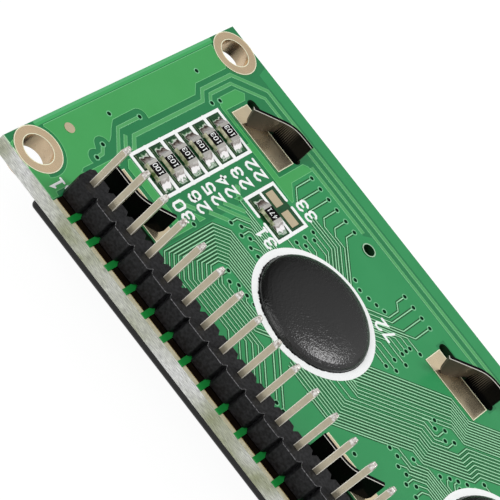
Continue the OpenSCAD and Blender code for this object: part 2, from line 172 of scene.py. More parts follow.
class EffectShelf:
    """Builds each shared shader group once and hands it out."""

    def __init__(self) -> None:
        """Starts with an empty shelf."""
        self.groups: dict[Effect, bpy.types.NodeTree] = {}

    def get(self, effect: Effect) -> bpy.types.NodeTree:
        """Hands out the group for an effect, and builds it the first time.

        Args:
            effect: the effect.

        Returns:
            The effect's group.
        """
        if effect not in self.groups:
            builder = {Effect.DRIFT: self.drift, Effect.SHEEN: self.sheen, Effect.GRAIN: self.grain}
            self.groups[effect] = builder[effect]()
        return self.groups[effect]

    def start(self, name: str, inputs: dict[str, str], output: str, kind: str) -> tuple:
        """Opens a group with named sockets.

        Args:
            name: the group's name.
            inputs: socket name and socket type of each input.
            output: the name of its one output.
            kind: the output's socket type.

        Returns:
            The wiring, the input node and the output node.
        """
        tree = bpy.data.node_groups.new(name, "ShaderNodeTree")
        for label, socket in inputs.items():
            tree.interface.new_socket(label, in_out="INPUT", socket_type=socket)
        tree.interface.new_socket(output, in_out="OUTPUT", socket_type=kind)
        wiring = Wiring(tree)
        return wiring, wiring.put("NodeGroupInput"), wiring.put("NodeGroupOutput")

    def noise(self, wiring: Wiring, size: bpy.types.NodeSocket, detail: float) -> bpy.types.NodeSocket:
        """Adds noise on object coordinates.

        Args:
            wiring: the node tree to wire.
            size: about how wide its patches are, in metres.
            detail: how many finer layers it has.

        Returns:
            The socket of its value, from 0 to 1.
        """
        place = wiring.put("ShaderNodeTexCoord").outputs["Object"]
        joins = {"Vector": place, "Scale": wiring.calc("DIVIDE", 1.0, size), "Detail": detail}
        return wiring.put("ShaderNodeTexNoise", joins).outputs[0]

    def drift(self) -> bpy.types.NodeTree:
        """Builds the group that lets a colour wander towards a second one.

        Returns:
            The group.
        """
        sockets = {"Main": "NodeSocketColor", "Second": "NodeSocketColor",
                   "Size": "NodeSocketFloat", "Share": "NodeSocketFloat"}
        wiring, start, end = self.start(Effect.DRIFT.value, sockets, "Colour", "NodeSocketColor")
        patch = self.noise(wiring, start.outputs["Size"], detail=3.0)
        share = wiring.times(wiring.ramp(patch, *DRIFT_SPAN), start.outputs["Share"])
        mixed = wiring.mix(share, start.outputs["Main"], start.outputs["Second"])
        wiring.tree.links.new(mixed, end.inputs[0])
        return wiring.tree

    def sheen(self) -> bpy.types.NodeTree:
        """Builds the group that varies roughness between two values.

        Returns:
            The group.
        """
        sockets = {"Low": "NodeSocketFloat", "High": "NodeSocketFloat", "Size": "NodeSocketFloat"}
        wiring, start, end = self.start(Effect.SHEEN.value, sockets, "Roughness", "NodeSocketFloat")
        patch = self.noise(wiring, start.outputs["Size"], detail=2.0)
        rough = wiring.ramp(patch, *SHEEN_SPAN, start.outputs["Low"], start.outputs["High"])
        wiring.tree.links.new(rough, end.inputs[0])
        return wiring.tree

    def grain(self) -> bpy.types.NodeTree:
        """Builds the group that gives a fine even relief.

        Returns:
            The group.
        """
        sockets = {"Size": "NodeSocketFloat"}
        wiring, start, end = self.start(Effect.GRAIN.value, sockets, "Height", "NodeSocketFloat")
        patch = self.noise(wiring, start.outputs["Size"], detail=1.5)
        wiring.tree.links.new(patch, end.inputs[0])
        return wiring.tree


SHELF = EffectShelf()


# ---- finishes ----

@dataclass(frozen=True)
class Finish:
    """One surface finish.

    Sizes and depths are in millimetres.
    """

    name: str
    main: Colour
    second: Colour
    share: float = 0.4
    patch: float = 3.0
    gloss: Point = (0.4, 0.5)
    gloss_patch: float = 2.0
    metal: float = 0.0
    grain: float = 0.0
    grain_size: float = 0.15
    ior: float = 1.45

    def group(self, wiring: Wiring, effect: Effect, values: dict) -> bpy.types.NodeSocket:
        """Puts a shared group in this material with its own values.

        Args:
            wiring: the node tree to wire.
            effect: which group it is.
            values: a value for each of its inputs, by name.

        Returns:
            The socket of the group's output.
        """
        node = wiring.put("ShaderNodeGroup", node_tree=SHELF.get(effect))
        for name, value in values.items():
            node.inputs[name].default_value = value
        return node.outputs[0]

    def drift(self, wiring: Wiring, main: Colour, second: Colour, patch: float,
              share: float) -> bpy.types.NodeSocket:
        """Returns a colour that wanders towards a second one in patches."""
        values = {"Main": rgba(main), "Second": rgba(second), "Size": patch * MM, "Share": share}
        return self.group(wiring, Effect.DRIFT, values)

    def paint(self, wiring: Wiring) -> bpy.types.NodeSocket:
        """Returns the socket that carries the colour."""
        return self.drift(wiring, self.main, self.second, self.patch, self.share)

    def sheen(self, wiring: Wiring) -> bpy.types.NodeSocket:
        """Returns the socket that carries the roughness."""
        values = {"Low": self.gloss[0], "High": self.gloss[1], "Size": self.gloss_patch * MM}
        return self.group(wiring, Effect.SHEEN, values)

    def extras(self, wiring: Wiring) -> dict:
        """Returns what further feeds the shader's own sockets."""
        return {}

    def make(self) -> bpy.types.Material:
        """Builds the material the first time it is asked for.

        Returns:
            The material.
        """
        known = bpy.data.materials.get("finish_" + self.name)
        if known:
            return known
        material = bpy.data.materials.new("finish_" + self.name)
        material.use_nodes = True
        wiring = Wiring(material.node_tree)
        wiring.tree.nodes.clear()
        joins = {"Base Color": self.paint(wiring), "Roughness": self.sheen(wiring),
                 "Metallic": self.metal, "IOR": self.ior, **self.extras(wiring)}
        if self.grain:
            size = {"Size": self.grain_size * MM}
            relief = {"Height": self.group(wiring, Effect.GRAIN, size), "Distance": self.grain * MM}
            joins["Normal"] = wiring.put("ShaderNodeBump", relief).outputs[0]
        surface = wiring.put("ShaderNodeBsdfPrincipled", joins)
        wiring.put("ShaderNodeOutputMaterial", {"Surface": surface.outputs[0]})
        return material


@dataclass(frozen=True)
class BoardSkin(Finish):
    """Solder resist on the flat faces, bare glass-fibre laminate on the cut sides.

    The walls of the slots and holes lie inside the rim, a distance from the middle, and are painted dark as
    the shade inside those openings.
    """

    fibre: Colour = (0.97, 0.98, 0.96)
    resin: Colour = (0.42, 0.45, 0.27)
    stretch: float = 5.0
    streak: float = 0.52
    # painted shade: the colour of the slot and hole walls, dark as the inside of an opening
    wall: Colour = (0.012, 0.040, 0.016)
    rim: Point = (39.5, 17.5)
    ply: float = 0.07
    bundle: float = 0.6

    def paint(self, wiring: Wiring) -> bpy.types.NodeSocket:
        """Tells resist from laminate by the face's direction, gives the laminate its layers of cloth, and
        paints the walls inside the rim dark as shade.

        Args:
            wiring: the node tree to wire.

        Returns:
            The socket that carries the colour.
        """
        resist = super().paint(wiring)
        where = wiring.put("ShaderNodeTexCoord")
        along, up = 1 / self.bundle, 1 / self.ply
        weave = {"Vector": where.outputs["Object"], "Scale": (along, along, up)}
        mapped = wiring.put("ShaderNodeMapping", weave).outputs[0]
        cloth = wiring.put("ShaderNodeTexNoise", {"Vector": mapped, "Scale": 1 / MM, "Detail": 3.0})
        shade = wiring.ramp(cloth.outputs[0], *DRIFT_SPAN, 1.0 - self.streak)
        glued = self.drift(wiring, self.resin, self.fibre, self.stretch, 1.0)
        side = wiring.put("ShaderNodeVectorMath", {0: glued, 3: shade}, operation="SCALE").outputs[0]
        spot = wiring.split("Object")
        inner = [wiring.calc("LESS_THAN", wiring.calc("ABSOLUTE", spot[i]), self.rim[i] * MM) for i in (0, 1)]
        # walls inside the rim get the painted shade
        side = wiring.mix(wiring.times(*inner), side, rgba(self.wall))
        return wiring.mix(wiring.level(), side, resist)


@dataclass(frozen=True)
class LandSkin(Finish):
    """Gold plating whose walls, seen inside a hole, have their own shade."""

    wall: Colour = (0.60, 0.50, 0.34)

    def paint(self, wiring: Wiring) -> bpy.types.NodeSocket:
        """Returns the land's colour on level faces and the wall's colour elsewhere."""
        return wiring.mix(wiring.level(), rgba(self.wall), super().paint(wiring))


@dataclass(frozen=True)
class SolderedLand(LandSkin):
    """A land painted dark everywhere but at one place, where it stays bare: grey as under solder, drifting to
    a dark green that is painted shade of the resist opening.
    """

    # solder grey, and the dark green of painted shade in the resist opening
    solder_shade: Colour = (0.16, 0.22, 0.13)
    dark: Colour = (0.03, 0.09, 0.035)
    solder_shade_patch: float = 0.4
    solder_shade_share: float = 0.9
    bare_at: Point = (-22.35, 6.4)
    bare_reach: Point = (2.2, 0.9)

    def bare(self, wiring: Wiring) -> bpy.types.NodeSocket:
        """Marks the place that no solder covers.

        Args:
            wiring: the node tree to wire.

        Returns:
            A socket that is 1 at the bare place and 0 elsewhere.
        """
        spot = wiring.split("Object")
        near = []
        for i in (0, 1):
            gap = wiring.calc("ABSOLUTE", wiring.calc("SUBTRACT", spot[i], self.bare_at[i] * MM))
            near.append(wiring.calc("LESS_THAN", gap, self.bare_reach[i] * MM))
        return wiring.times(*near)

    def paint(self, wiring: Wiring) -> bpy.types.NodeSocket:
        """Returns gold at the bare place and, elsewhere, the solder grey and painted shade."""
        shaded_solder = self.drift(wiring, self.solder_shade, self.dark, self.solder_shade_patch, self.solder_shade_share)
        return wiring.mix(self.bare(wiring), shaded_solder, super().paint(wiring))

    def extras(self, wiring: Wiring) -> dict:
        """Returns metal only at the bare place."""
        return {"Metallic": self.bare(wiring)}


@dataclass(frozen=True)
class FilletSkin(Finish):
    """Solder climbing a chip's end, coloured in bands of painted reflection and highlight that follow the
    height and differ between the two ends.

    Each band is a share of the climb and a colour: the board's green painted as its reflection near the foot,
    a painted white highlight, and darker then greyer solder above.
    """

    foot: float = 8.28
    climb: float = 0.5
    wander: float = 1.1
    wander_at_foot: float = 0.2
    near_painted_light: tuple[tuple[float, Colour], ...] = (
        (0.17, (0.012, 0.075, 0.025)), (0.21, (0.30, 0.52, 0.30)), (0.26, (0.98, 1.0, 0.93)),
        (0.34, (0.10, 0.07, 0.05)), (0.42, (0.05, 0.035, 0.028)), (0.62, (0.34, 0.28, 0.25)),
        (0.95, (0.60, 0.58, 0.58)))
    far_painted_light: tuple[tuple[float, Colour], ...] = (
        (0.10, (0.04, 0.15, 0.06)), (0.13, (0.62, 0.76, 0.62)), (0.16, (0.16, 0.24, 0.16)),
        (0.20, (1.0, 0.98, 0.98)), (0.48, (1.0, 0.96, 0.97)), (0.60, (0.34, 0.31, 0.29)),
        (0.95, (0.72, 0.69, 0.66)))

    def banded(self, wiring: Wiring, share: object, bands: tuple) -> bpy.types.NodeSocket:
        """Adds one colour ramp.

        Args:
            wiring: the node tree to wire.
            share: the share of the climb, from 0 to 1.
            bands: the share and the colour of each band.

        Returns:
            The socket that carries the colour.
        """
        node = wiring.put("ShaderNodeValToRGB", {0: share})
        marks = node.color_ramp.elements
        while len(marks) < len(bands):
            marks.new(0.5)
        for mark, (place, colour) in zip(marks, bands):
            mark.position = place
            mark.color = rgba(colour)
        return node.outputs[0]

    def paint(self, wiring: Wiring) -> bpy.types.NodeSocket:
        """Lays the bands of painted reflection and highlight by height, bent a little by noise.

        Args:
            wiring: the node tree to wire.

        Returns:
            The socket that carries the colour.
        """
        top = self.foot + self.climb
        climbed = wiring.ramp(wiring.split("Object")[2], self.foot * MM, top * MM)
        uneven = self.group(wiring, Effect.GRAIN, {"Size": self.patch * MM})
        bend = wiring.times(wiring.calc("SUBTRACT", uneven, 0.5), self.wander)
        bent = wiring.times(bend, wiring.calc("ADD", climbed, self.wander_at_foot))
        share = wiring.calc("ADD", climbed, bent)
        # the end facing +x, towards the key lamp, gets the wider painted white highlight
        far = wiring.calc("GREATER_THAN", wiring.split("Normal")[0], 0.0)
        ends = [self.banded(wiring, share, bands) for bands in (self.near_painted_light, self.far_painted_light)]
        return wiring.mix(far, *ends)


@dataclass(frozen=True)
class PaintedSteel(Finish):
    """Black finish that is deeper above the board, with a painted brown reflection of the gold land on the
    far tabs' turned faces.
    """

    # painted reflection: the gold land below, seen in the far tabs' turned faces, painted brown
    land_reflection: Colour = (0.105, 0.086, 0.068)
    board_top: float = 8.3
    turn: Point = (0.04, 0.5)
    glint: Point = (0.5, 0.04)

    def above(self, wiring: Wiring) -> bpy.types.NodeSocket:
        """Returns 1 above the board and 0 below it."""
        return wiring.calc("GREATER_THAN", wiring.split("Object")[2], self.board_top * MM)

    def paint(self, wiring: Wiring) -> bpy.types.NodeSocket:
        """Paints the gold land's brown reflection on the far tabs' turned faces above the board.

        Args:
            wiring: the node tree to wire.

        Returns:
            The socket that carries the colour.
        """
        sideways = wiring.calc("ABSOLUTE", wiring.split("Normal")[0])
        turned = wiring.ramp(sideways, *self.turn, interpolation_type="SMOOTHSTEP")
        upright = wiring.calc("SUBTRACT", 1.0, wiring.level())
        far = wiring.calc("GREATER_THAN", wiring.split("Object")[1], 0.0)
        share = wiring.times(turned, upright, far, self.above(wiring))
        return wiring.mix(share, super().paint(wiring), rgba(self.land_reflection))

    def extras(self, wiring: Wiring) -> dict:
        """Returns a duller glint above the board."""
        return {"Specular IOR Level": wiring.ramp(self.above(wiring), 0.0, 1.0, *self.glint)}


@dataclass(frozen=True)
class Glazing(Finish):
    """A clear sheet."""

    passing: float = 1.0

    def extras(self, wiring: Wiring) -> dict:
        """Returns the share of light that passes."""
        return {"Transmission Weight": self.passing}


RESIST = BoardSkin("resist_on_laminate", (0.007, 0.185, 0.056), (0.014, 0.215, 0.070), gloss=(0.34, 0.44))
FAR_COPPER = Finish("resist_over_far_copper", (0.018, 0.262, 0.080), (0.028, 0.292, 0.096),
                    gloss=(0.34, 0.44))
FIELD = Finish("resist_on_copper_field", (0.046, 0.340, 0.084), (0.056, 0.366, 0.100), gloss=(0.32, 0.42))
# painted highlight along the copper fields' edges
FIELD_HIGHLIGHT = Finish("painted_highlight_on_field_edge", (0.15, 0.52, 0.21), (0.11, 0.46, 0.16), gloss=(0.30, 0.40))
STRIP_OUTER = Finish("resist_on_outer_strip", (0.085, 0.43, 0.165), (0.080, 0.42, 0.155),
                     gloss=(0.30, 0.40))
STRIP_INNER = Finish("resist_on_inner_strip", (0.044, 0.375, 0.105), (0.040, 0.365, 0.098),
                     gloss=(0.30, 0.40))
TRACK = Finish("resist_on_track", (0.072, 0.352, 0.108), (0.084, 0.375, 0.125), gloss=(0.30, 0.40))
# painted highlight along the shoulders of the medium and broad tracks
TRACK_HIGHLIGHT = Finish("painted_highlight_on_track_edge", (0.20, 0.55, 0.26), (0.16, 0.49, 0.21), gloss=(0.30, 0.40))
FINE_TRACK = Finish("resist_on_fine_track", (0.36, 0.74, 0.44), (0.29, 0.66, 0.37), gloss=(0.28, 0.38))
# painted shade: darker resist laid under and beside the fine tracks, dark between them
GAP_SHADE = Finish("painted_shade_beside_track", (0.001, 0.068, 0.015), (0.003, 0.088, 0.022), gloss=(0.34, 0.44),
              ior=1.38)
BRIDGE = Finish("resist_bridge", (0.010, 0.270, 0.045), (0.020, 0.310, 0.060), gloss=(0.30, 0.40))
# painted shade: the dark inside a via's hole
WELL_SHADE = Finish("via_well_painted_shade", (0.002, 0.020, 0.008), (0.004, 0.034, 0.013), patch=0.3, gloss=(0.4, 0.6),
              ior=1.08)
VIA = Finish("resist_on_via", (0.14, 0.47, 0.22), (0.24, 0.60, 0.34), share=0.8, patch=0.3,
             gloss=(0.28, 0.38))
BARE = Finish("bare_laminate", (0.62, 0.58, 0.40), (0.72, 0.69, 0.52), share=0.7, patch=0.5,
              gloss=(0.5, 0.7))
INK = Finish("print_ink", (0.94, 0.955, 0.95), (0.88, 0.90, 0.89), patch=0.8, gloss=(0.45, 0.6),
             grain=0.004)
GOLD = LandSkin("gold_land", (0.84, 0.70, 0.47), (0.74, 0.65, 0.47), patch=1.2, gloss=(0.22, 0.32),
                metal=0.93, grain=0.0015, grain_size=0.3)
RING = LandSkin("ring_land", (0.92, 0.70, 0.46), (0.80, 0.66, 0.42), patch=0.9, gloss=(0.2, 0.3), metal=1.0,
                grain=0.003, grain_size=0.3, wall=(0.80, 0.62, 0.42))
# the eyelet's dark green wall colour is painted shade inside its hole
EYELET = LandSkin("eyelet_land", (0.42, 0.66, 0.45), (0.34, 0.58, 0.38), patch=0.4, gloss=(0.3, 0.4),
                  metal=0.3, wall=(0.012, 0.060, 0.022))
# painted shade and reflection: gold darkened to brown, as in the header's shadow with its black mirrored in
# it
SHADED_HEADER_LAND = LandSkin("land_under_header_painted_shade", (0.11, 0.072, 0.042), (0.08, 0.054, 0.034), patch=1.2,
                      gloss=(0.06, 0.1), metal=1.0, grain=0.004, grain_size=0.3)
CHIP_LAND = SolderedLand("chip_land", (0.84, 0.70, 0.47), (0.74, 0.65, 0.47), patch=1.2, gloss=(0.2, 0.3))
# painted highlight along the rims of the tab lands and the mounting rings
LAND_HIGHLIGHT = Finish("painted_highlight_on_land_rim", (0.86, 0.85, 0.63), (0.76, 0.74, 0.54), patch=0.6, gloss=(0.25, 0.35))
RIM = Finish("resist_rim", (0.62, 0.80, 0.58), (0.46, 0.70, 0.44), patch=1.5, gloss=(0.3, 0.4))
# darker resist inside the printed frames: partly no copper behind it, partly painted shade round the
# resistors
BETWEEN_LANDS_SHADE = Finish("resist_and_shade_between_lands", (0.003, 0.050, 0.014), (0.006, 0.090, 0.026), patch=0.5,
                gloss=(0.34, 0.44), ior=1.38)
STEEL = PaintedSteel("black_steel", (0.003, 0.003, 0.003), (0.005, 0.0045, 0.004), gloss=(0.10, 0.16),
                     grain=0.002, grain_size=0.4)
# bare sheared steel on the tabs' top edges, lightened as a painted highlight on the side towards the header
CUT_STEEL_HIGHLIGHT = Finish("cut_steel_with_highlight", (0.72, 0.69, 0.64), (0.50, 0.47, 0.43), patch=0.3, gloss=(0.3, 0.45), metal=0.6)
MOULDED = Finish("black_plastic", (0.002, 0.002, 0.0025), (0.020, 0.020, 0.022), share=0.85, patch=0.3,
                 gloss=(0.36, 0.55), grain=0.012, grain_size=0.1, ior=1.30)
# painted highlight on the housing's broken edges that face up and towards the header
MOULDED_HIGHLIGHT = Finish("plastic_edge_highlight", (0.014, 0.014, 0.016), (0.26, 0.26, 0.27), share=1.0, patch=0.22,
              gloss=(0.3, 0.45))
EPOXY = Finish("black_epoxy", (0.002, 0.002, 0.002), (0.004, 0.004, 0.004), patch=1.5, gloss=(0.18, 0.25),
               grain=0.040, grain_size=0.17, ior=1.50)
TINNED = Finish("tinned_pin", (0.56, 0.50, 0.37), (0.47, 0.42, 0.31), patch=0.5, gloss=(0.24, 0.40),
                metal=0.65, grain=0.004, grain_size=0.2)
# painted highlight on the pins' broken edges
PIN_HIGHLIGHT = Finish("pin_edge_painted_highlight", (0.95, 0.91, 0.81), (0.80, 0.75, 0.65), patch=0.4, gloss=(0.2, 0.3), metal=0.1)
# painted highlight on the pins' upper tips, broken by darker spots
PIN_TIP_HIGHLIGHT = Finish("pin_tip_painted_highlight", (1.0, 0.98, 0.93), (0.30, 0.24, 0.20), share=0.9, patch=0.2, gloss=(0.12, 0.2),
                 metal=0.2)
SOLDER = Finish("solder", (0.92, 0.92, 0.90), (0.35, 0.35, 0.32), share=0.8, patch=0.6, gloss=(0.08, 0.16),
                metal=1.0, grain=0.03, grain_size=0.6)
FILLET = FilletSkin("solder_fillet", (1, 1, 1), (1, 1, 1), patch=0.5, gloss=(0.08, 0.18), metal=0.35,
                    grain=0.03, grain_size=0.5)
CERAMIC = Finish("ceramic_body", (0.80, 0.76, 0.55), (0.08, 0.14, 0.02), share=1.0, patch=0.6,
                 gloss=(0.35, 0.5))
COAT = Finish("resistor_coat", (0.003, 0.0025, 0.0025), (0.006, 0.005, 0.005), patch=0.4,
              gloss=(0.25, 0.4), ior=1.12)
PLATING = Finish("end_plating", (0.66, 0.64, 0.60), (0.55, 0.54, 0.51), patch=0.3, gloss=(0.25, 0.4),
                 metal=0.9)
GLASS = Glazing("display_glass", (0.86, 0.92, 0.88), (0.88, 0.94, 0.90), gloss=(0.02, 0.04), ior=1.52)
ACRYLIC = Glazing("clear_acrylic", (0.95, 0.97, 0.96), (0.93, 0.96, 0.95), gloss=(0.05, 0.1), ior=1.49)
POLARISER = Finish("polariser", (0.24, 0.30, 0.10), (0.26, 0.32, 0.11), patch=20.0, gloss=(0.10, 0.16))
DOT = Finish("display_dot", (0.20, 0.25, 0.085), (0.21, 0.26, 0.09), patch=20.0, gloss=(0.10, 0.16))
SEAL = Finish("seal_resin", (0.55, 0.52, 0.40), (0.50, 0.47, 0.35), gloss=(0.3, 0.5))
WHITE = Finish("white_plastic", (0.80, 0.80, 0.78), (0.74, 0.74, 0.72), gloss=(0.4, 0.55), grain=0.004)
RUBBER = Finish("contact_rubber", (0.42, 0.38, 0.36), (0.05, 0.05, 0.05), share=0.9, patch=0.2,
                gloss=(0.6, 0.8))

NODE_FINISH: dict[str, Finish] = {
    "board": RESIST, "bezel": STEEL, "front_polariser": POLARISER, "rear_polariser": POLARISER,
    "front_glass": GLASS, "rear_glass": GLASS, "cell_seal": SEAL, "diffuser_film": WHITE,
    "light_guide": ACRYLIC, "reflector": WHITE, "contact_strip_near": RUBBER, "contact_strip_far": RUBBER,
    "lamp": WHITE, "lamp_leads": TINNED, "lamp_joints": SOLDER, "header_housing": MOULDED,
    "header_pins": TINNED, "header_joints": SOLDER, "controller_dome": EPOXY, "driver_dome": EPOXY,
    "resistor_coats": COAT, "resistor_ends": PLATING, "resistor_solder": FILLET,
    "mounting_rings": RING, "header_lands": SHADED_HEADER_LAND, "tab_lands": GOLD, "register_marks": GOLD,
    "locating_ring": EYELET, "lamp_lands": GOLD, "resistor_lands": CHIP_LAND,
    **{f"resistor_{place}": CERAMIC for place in range(1, 8)},
}


# ---- making pieces ----

def link(name: str, mesh: bpy.types.Mesh) -> bpy.types.Object:
    """Puts a finished mesh in the scene as an object at the origin.

    Args:
        name: the object's name.
        mesh: its finished mesh.

    Returns:
        The object.
    """
    thing = bpy.data.objects.new(name, mesh)
    bpy.context.scene.collection.objects.link(thing)
    return thing


def settle(thing: bpy.types.Object, slot: str) -> bpy.types.Object:
    """Ties a finished piece to the module and names the slot of its finish.

    Args:
        thing: the finished piece.
        slot: the record's material slot.

    Returns:
        The same piece.
    """
    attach(thing, BODY)
    log.info("%s: %d faces, slot %s", thing.name, len(thing.data.polygons), slot)
    return thing


def plate(name: str, outlines: list[list[Path]], foot: float, thick: float) -> bpy.types.Mesh:
    """Makes closed flat plates.

    Args:
        name: the mesh's name.
        outlines: for each plate its outer line first and then its openings, in millimetres.
        foot: height of the underside, in metres.
        thick: thickness, in millimetres.

    Returns:
        One mesh with all the plates.
    """
    points: list[Vector] = []
    faces: list[tuple[int, ...]] = []
    for loops in outlines:
        first = len(points)
        rings = [[Vector((x * MM, y * MM, foot)) for x, y in loop] for loop in loops]
        flat = [p for ring in rings for p in ring]
        count = len(flat)
        lift = Vector((0, 0, thick * MM))
        points += flat + [p + lift for p in flat]
        for a, b, c in tessellate_polygon(rings):
            faces.append((first + count + a, first + count + b, first + count + c))
            faces.append((first + c, first + b, first + a))
        start = first
        for ring in rings:
            for i in range(len(ring)):
                j = (i + 1) % len(ring)
                faces.append((start + i, start + j, start + count + j, start + count + i))
            start += len(ring)
    mesh = bpy.data.meshes.new(name)
    mesh.from_pydata(points, [], faces)
    shell = bmesh.new()
    shell.from_mesh(mesh)
    bmesh.ops.recalc_face_normals(shell, faces=shell.faces)
    shell.to_mesh(mesh)
    shell.free()
    return mesh


def arc(centre: Point, radius: float, start: float, end: float, steps: int = 16) -> Path:
    """Returns points along an arc, with its angles in degrees."""
    turn = [math.radians(start + (end - start) * i / steps) for i in range(steps + 1)]
    return [(centre[0] + radius * math.cos(a), centre[1] + radius * math.sin(a)) for a in turn]


def oblong(left: float, right: float, low: float, high: float) -> Path:
    """Returns the corners of a rectangle."""
    return [(left, low), (right, low), (right, high), (left, high)]


def whole(areas: list[Path]) -> list[list[Path]]:
    """Returns areas without openings in the form that plates are made from."""
    return [[area] for area in areas]


def spread(count: int, step: float) -> list[float]:
    """Returns evenly spaced places about a middle."""
    return [(i - (count - 1) / 2) * step for i in range(count)]


def staggered(place: int) -> float:
    """Returns how far up the plan a via of the far row stands, near and far in turn."""
    return 12.15 + 0.75 * (place % 2)


def pen_outline(line: Path, pen: float) -> list[Path]:
    """Returns the outline of a stroke with mitred corners and round ends.

    Args:
        line: the stroke's middle line; it is closed when its first and last points agree.
        pen: width of the stroke, in the same unit.

    Returns:
        One closed outline, or the outer and inner outlines of a closed stroke.
    """
    closed = line[0] == line[-1]
    points = [Vector(p) for p in (line[:-1] if closed else line)]
    count = len(points)
    half = pen / 2
    sides: tuple[Path, Path] = ([], [])
    for i, point in enumerate(points):
        back = point - points[i - 1] if closed or i else points[1] - point
        ahead = points[(i + 1) % count] - point if closed or i < count - 1 else back
        first, second = back.normalized().orthogonal(), ahead.normalized().orthogonal()
        across = (first + second).normalized()
        across *= half / max(MITRE_LIMIT, across.dot(first))
        sides[0].append((point.x + across.x, point.y + across.y))
        sides[1].append((point.x - across.x, point.y - across.y))
    if closed:
        return [sides[0], sides[1]]
    caps = []
    for tip, inner in ((points[-1], points[-2]), (points[0], points[1])):
        turn = math.degrees(math.atan2(tip.y - inner.y, tip.x - inner.x))
        caps.append(arc((tip.x, tip.y), half, turn + 90, turn - 90, CAP_STEPS)[1:-1])
    return [sides[0] + caps[0] + sides[1][::-1] + caps[1]]


def print_strokes(name: str, lines: list[Path], pen: float, foot: float, thick: float) -> bpy.types.Object:
    """Lays printed strokes in layers, each a hair thinner than the last, so that crossings stay clean.

    Args:
        name: the piece's name.
        lines: the strokes' middle lines, in millimetres.
        pen: width of the strokes, in millimetres.
        foot: height of the print's underside, in metres.
        thick: thickness of the print, in millimetres.

    Returns:
        The printed piece.
    """
    joined = bmesh.new()
    for place in range(PRINT_LAYERS):
        share = lines[place::PRINT_LAYERS]
        if share:
            layer = plate(name + "_layer", [pen_outline(line, pen) for line in share], foot,
                          thick * (1 - PRINT_STEP * place))
            joined.from_mesh(layer)
            bpy.data.meshes.remove(layer)
    mesh = bpy.data.meshes.new(name)
    joined.to_mesh(mesh)
    joined.free()
    mesh.materials.append(INK.make())
    return link(name, mesh)


def threads(name: str, paths: list[Path], height: float, stagger: float = 0.0) -> bpy.types.Mesh:
    """Makes a mesh of bare edges, one chain for each path.

    Args:
        name: the mesh's name.
        paths: the chains, in millimetres.
        height: their height, in metres.
        stagger: step by which neighbouring chains differ in height, in millimetres.

    Returns:
        The mesh of edges.
    """
    points: list[Vector] = []
    edges: list[tuple[int, int]] = []
    for place, path in enumerate(paths):
        first = len(points)
        level = height + stagger * MM * (place % STAGGER_COUNT)
        points += [Vector((x * MM, y * MM, level)) for x, y in path]
        edges += [(first + i, first + i + 1) for i in range(len(path) - 1)]
    mesh = bpy.data.meshes.new(name)
    mesh.from_pydata(points, edges, [])
    return mesh


class Pattern:
    """A Geometry Nodes tree that is built once and grown on one seed mesh after another."""

    name = "pattern"
    sizes: tuple[str, ...] = ()
    materials: tuple[str, ...] = ("Finish",)

    def __init__(self) -> None:
        """Opens the tree with its named inputs, and wires it."""
        tree = bpy.data.node_groups.new(self.name, "GeometryNodeTree")
        tree.interface.new_socket("Geometry", in_out="INPUT", socket_type="NodeSocketGeometry")
        for label in self.sizes:
            tree.interface.new_socket(label, in_out="INPUT", socket_type="NodeSocketFloat")
        for label in self.materials:
            tree.interface.new_socket(label, in_out="INPUT", socket_type="NodeSocketMaterial")
        tree.interface.new_socket("Geometry", in_out="OUTPUT", socket_type="NodeSocketGeometry")
        self.tree = tree
        wiring = Wiring(tree)
        start = wiring.put("NodeGroupInput")
        made = self.wire(wiring, start.outputs)
        wiring.put("NodeGroupOutput", {0: made})

    def wire(self, wiring: Wiring, given: bpy.types.NodeOutputs) -> bpy.types.NodeSocket:
        """Wires the tree between its inputs and the returned geometry."""
        raise NotImplementedError

    def real(self, wiring: Wiring, geometry: object) -> bpy.types.NodeSocket:
        """Adds Realize Instances and flat shading."""
        made = wiring.put("GeometryNodeRealizeInstances", {0: geometry}).outputs[0]
        return wiring.put("GeometryNodeSetShadeSmooth", {"Geometry": made, "Shade Smooth": False}).outputs[0]

    def sow(self, wiring: Wiring, points: object, thing: object) -> bpy.types.NodeSocket:
        """Sets a thing on every point."""
        joins = {"Points": points, "Instance": thing}
        return wiring.put("GeometryNodeInstanceOnPoints", joins).outputs[0]

    def dress(self, wiring: Wiring, geometry: object, material: object) -> bpy.types.NodeSocket:
        """Adds Realize Instances, flat shading and Set Material."""
        joins = {"Geometry": self.real(wiring, geometry), "Material": material}
        return wiring.put("GeometryNodeSetMaterial", joins).outputs[0]

    def grow(self, name: str, seed: bpy.types.Mesh, **values: object) -> bpy.types.Object:
        """Runs the tree on a seed mesh and keeps its result as a plain mesh.

        Args:
            name: the finished piece's name.
            seed: the mesh that the tree starts from.
            values: a value for each named input, with sizes in millimetres.

        Returns:
            The finished piece, without the modifier.
        """
        holder = link(name + "_seed", seed)
        modifier = holder.modifiers.new("grow", "NODES")
        modifier.node_group = self.tree
        for item in self.tree.interface.items_tree:
            if item.in_out == "INPUT" and item.name in values:
                value = values[item.name]
                modifier[item.identifier] = value * MM if isinstance(value, float) else value
        graph = bpy.context.evaluated_depsgraph_get()
        mesh = bpy.data.meshes.new_from_object(holder.evaluated_get(graph), depsgraph=graph)
        bpy.data.objects.remove(holder)
        bpy.data.meshes.remove(seed)
        mesh.name = name
        return link(name, mesh)


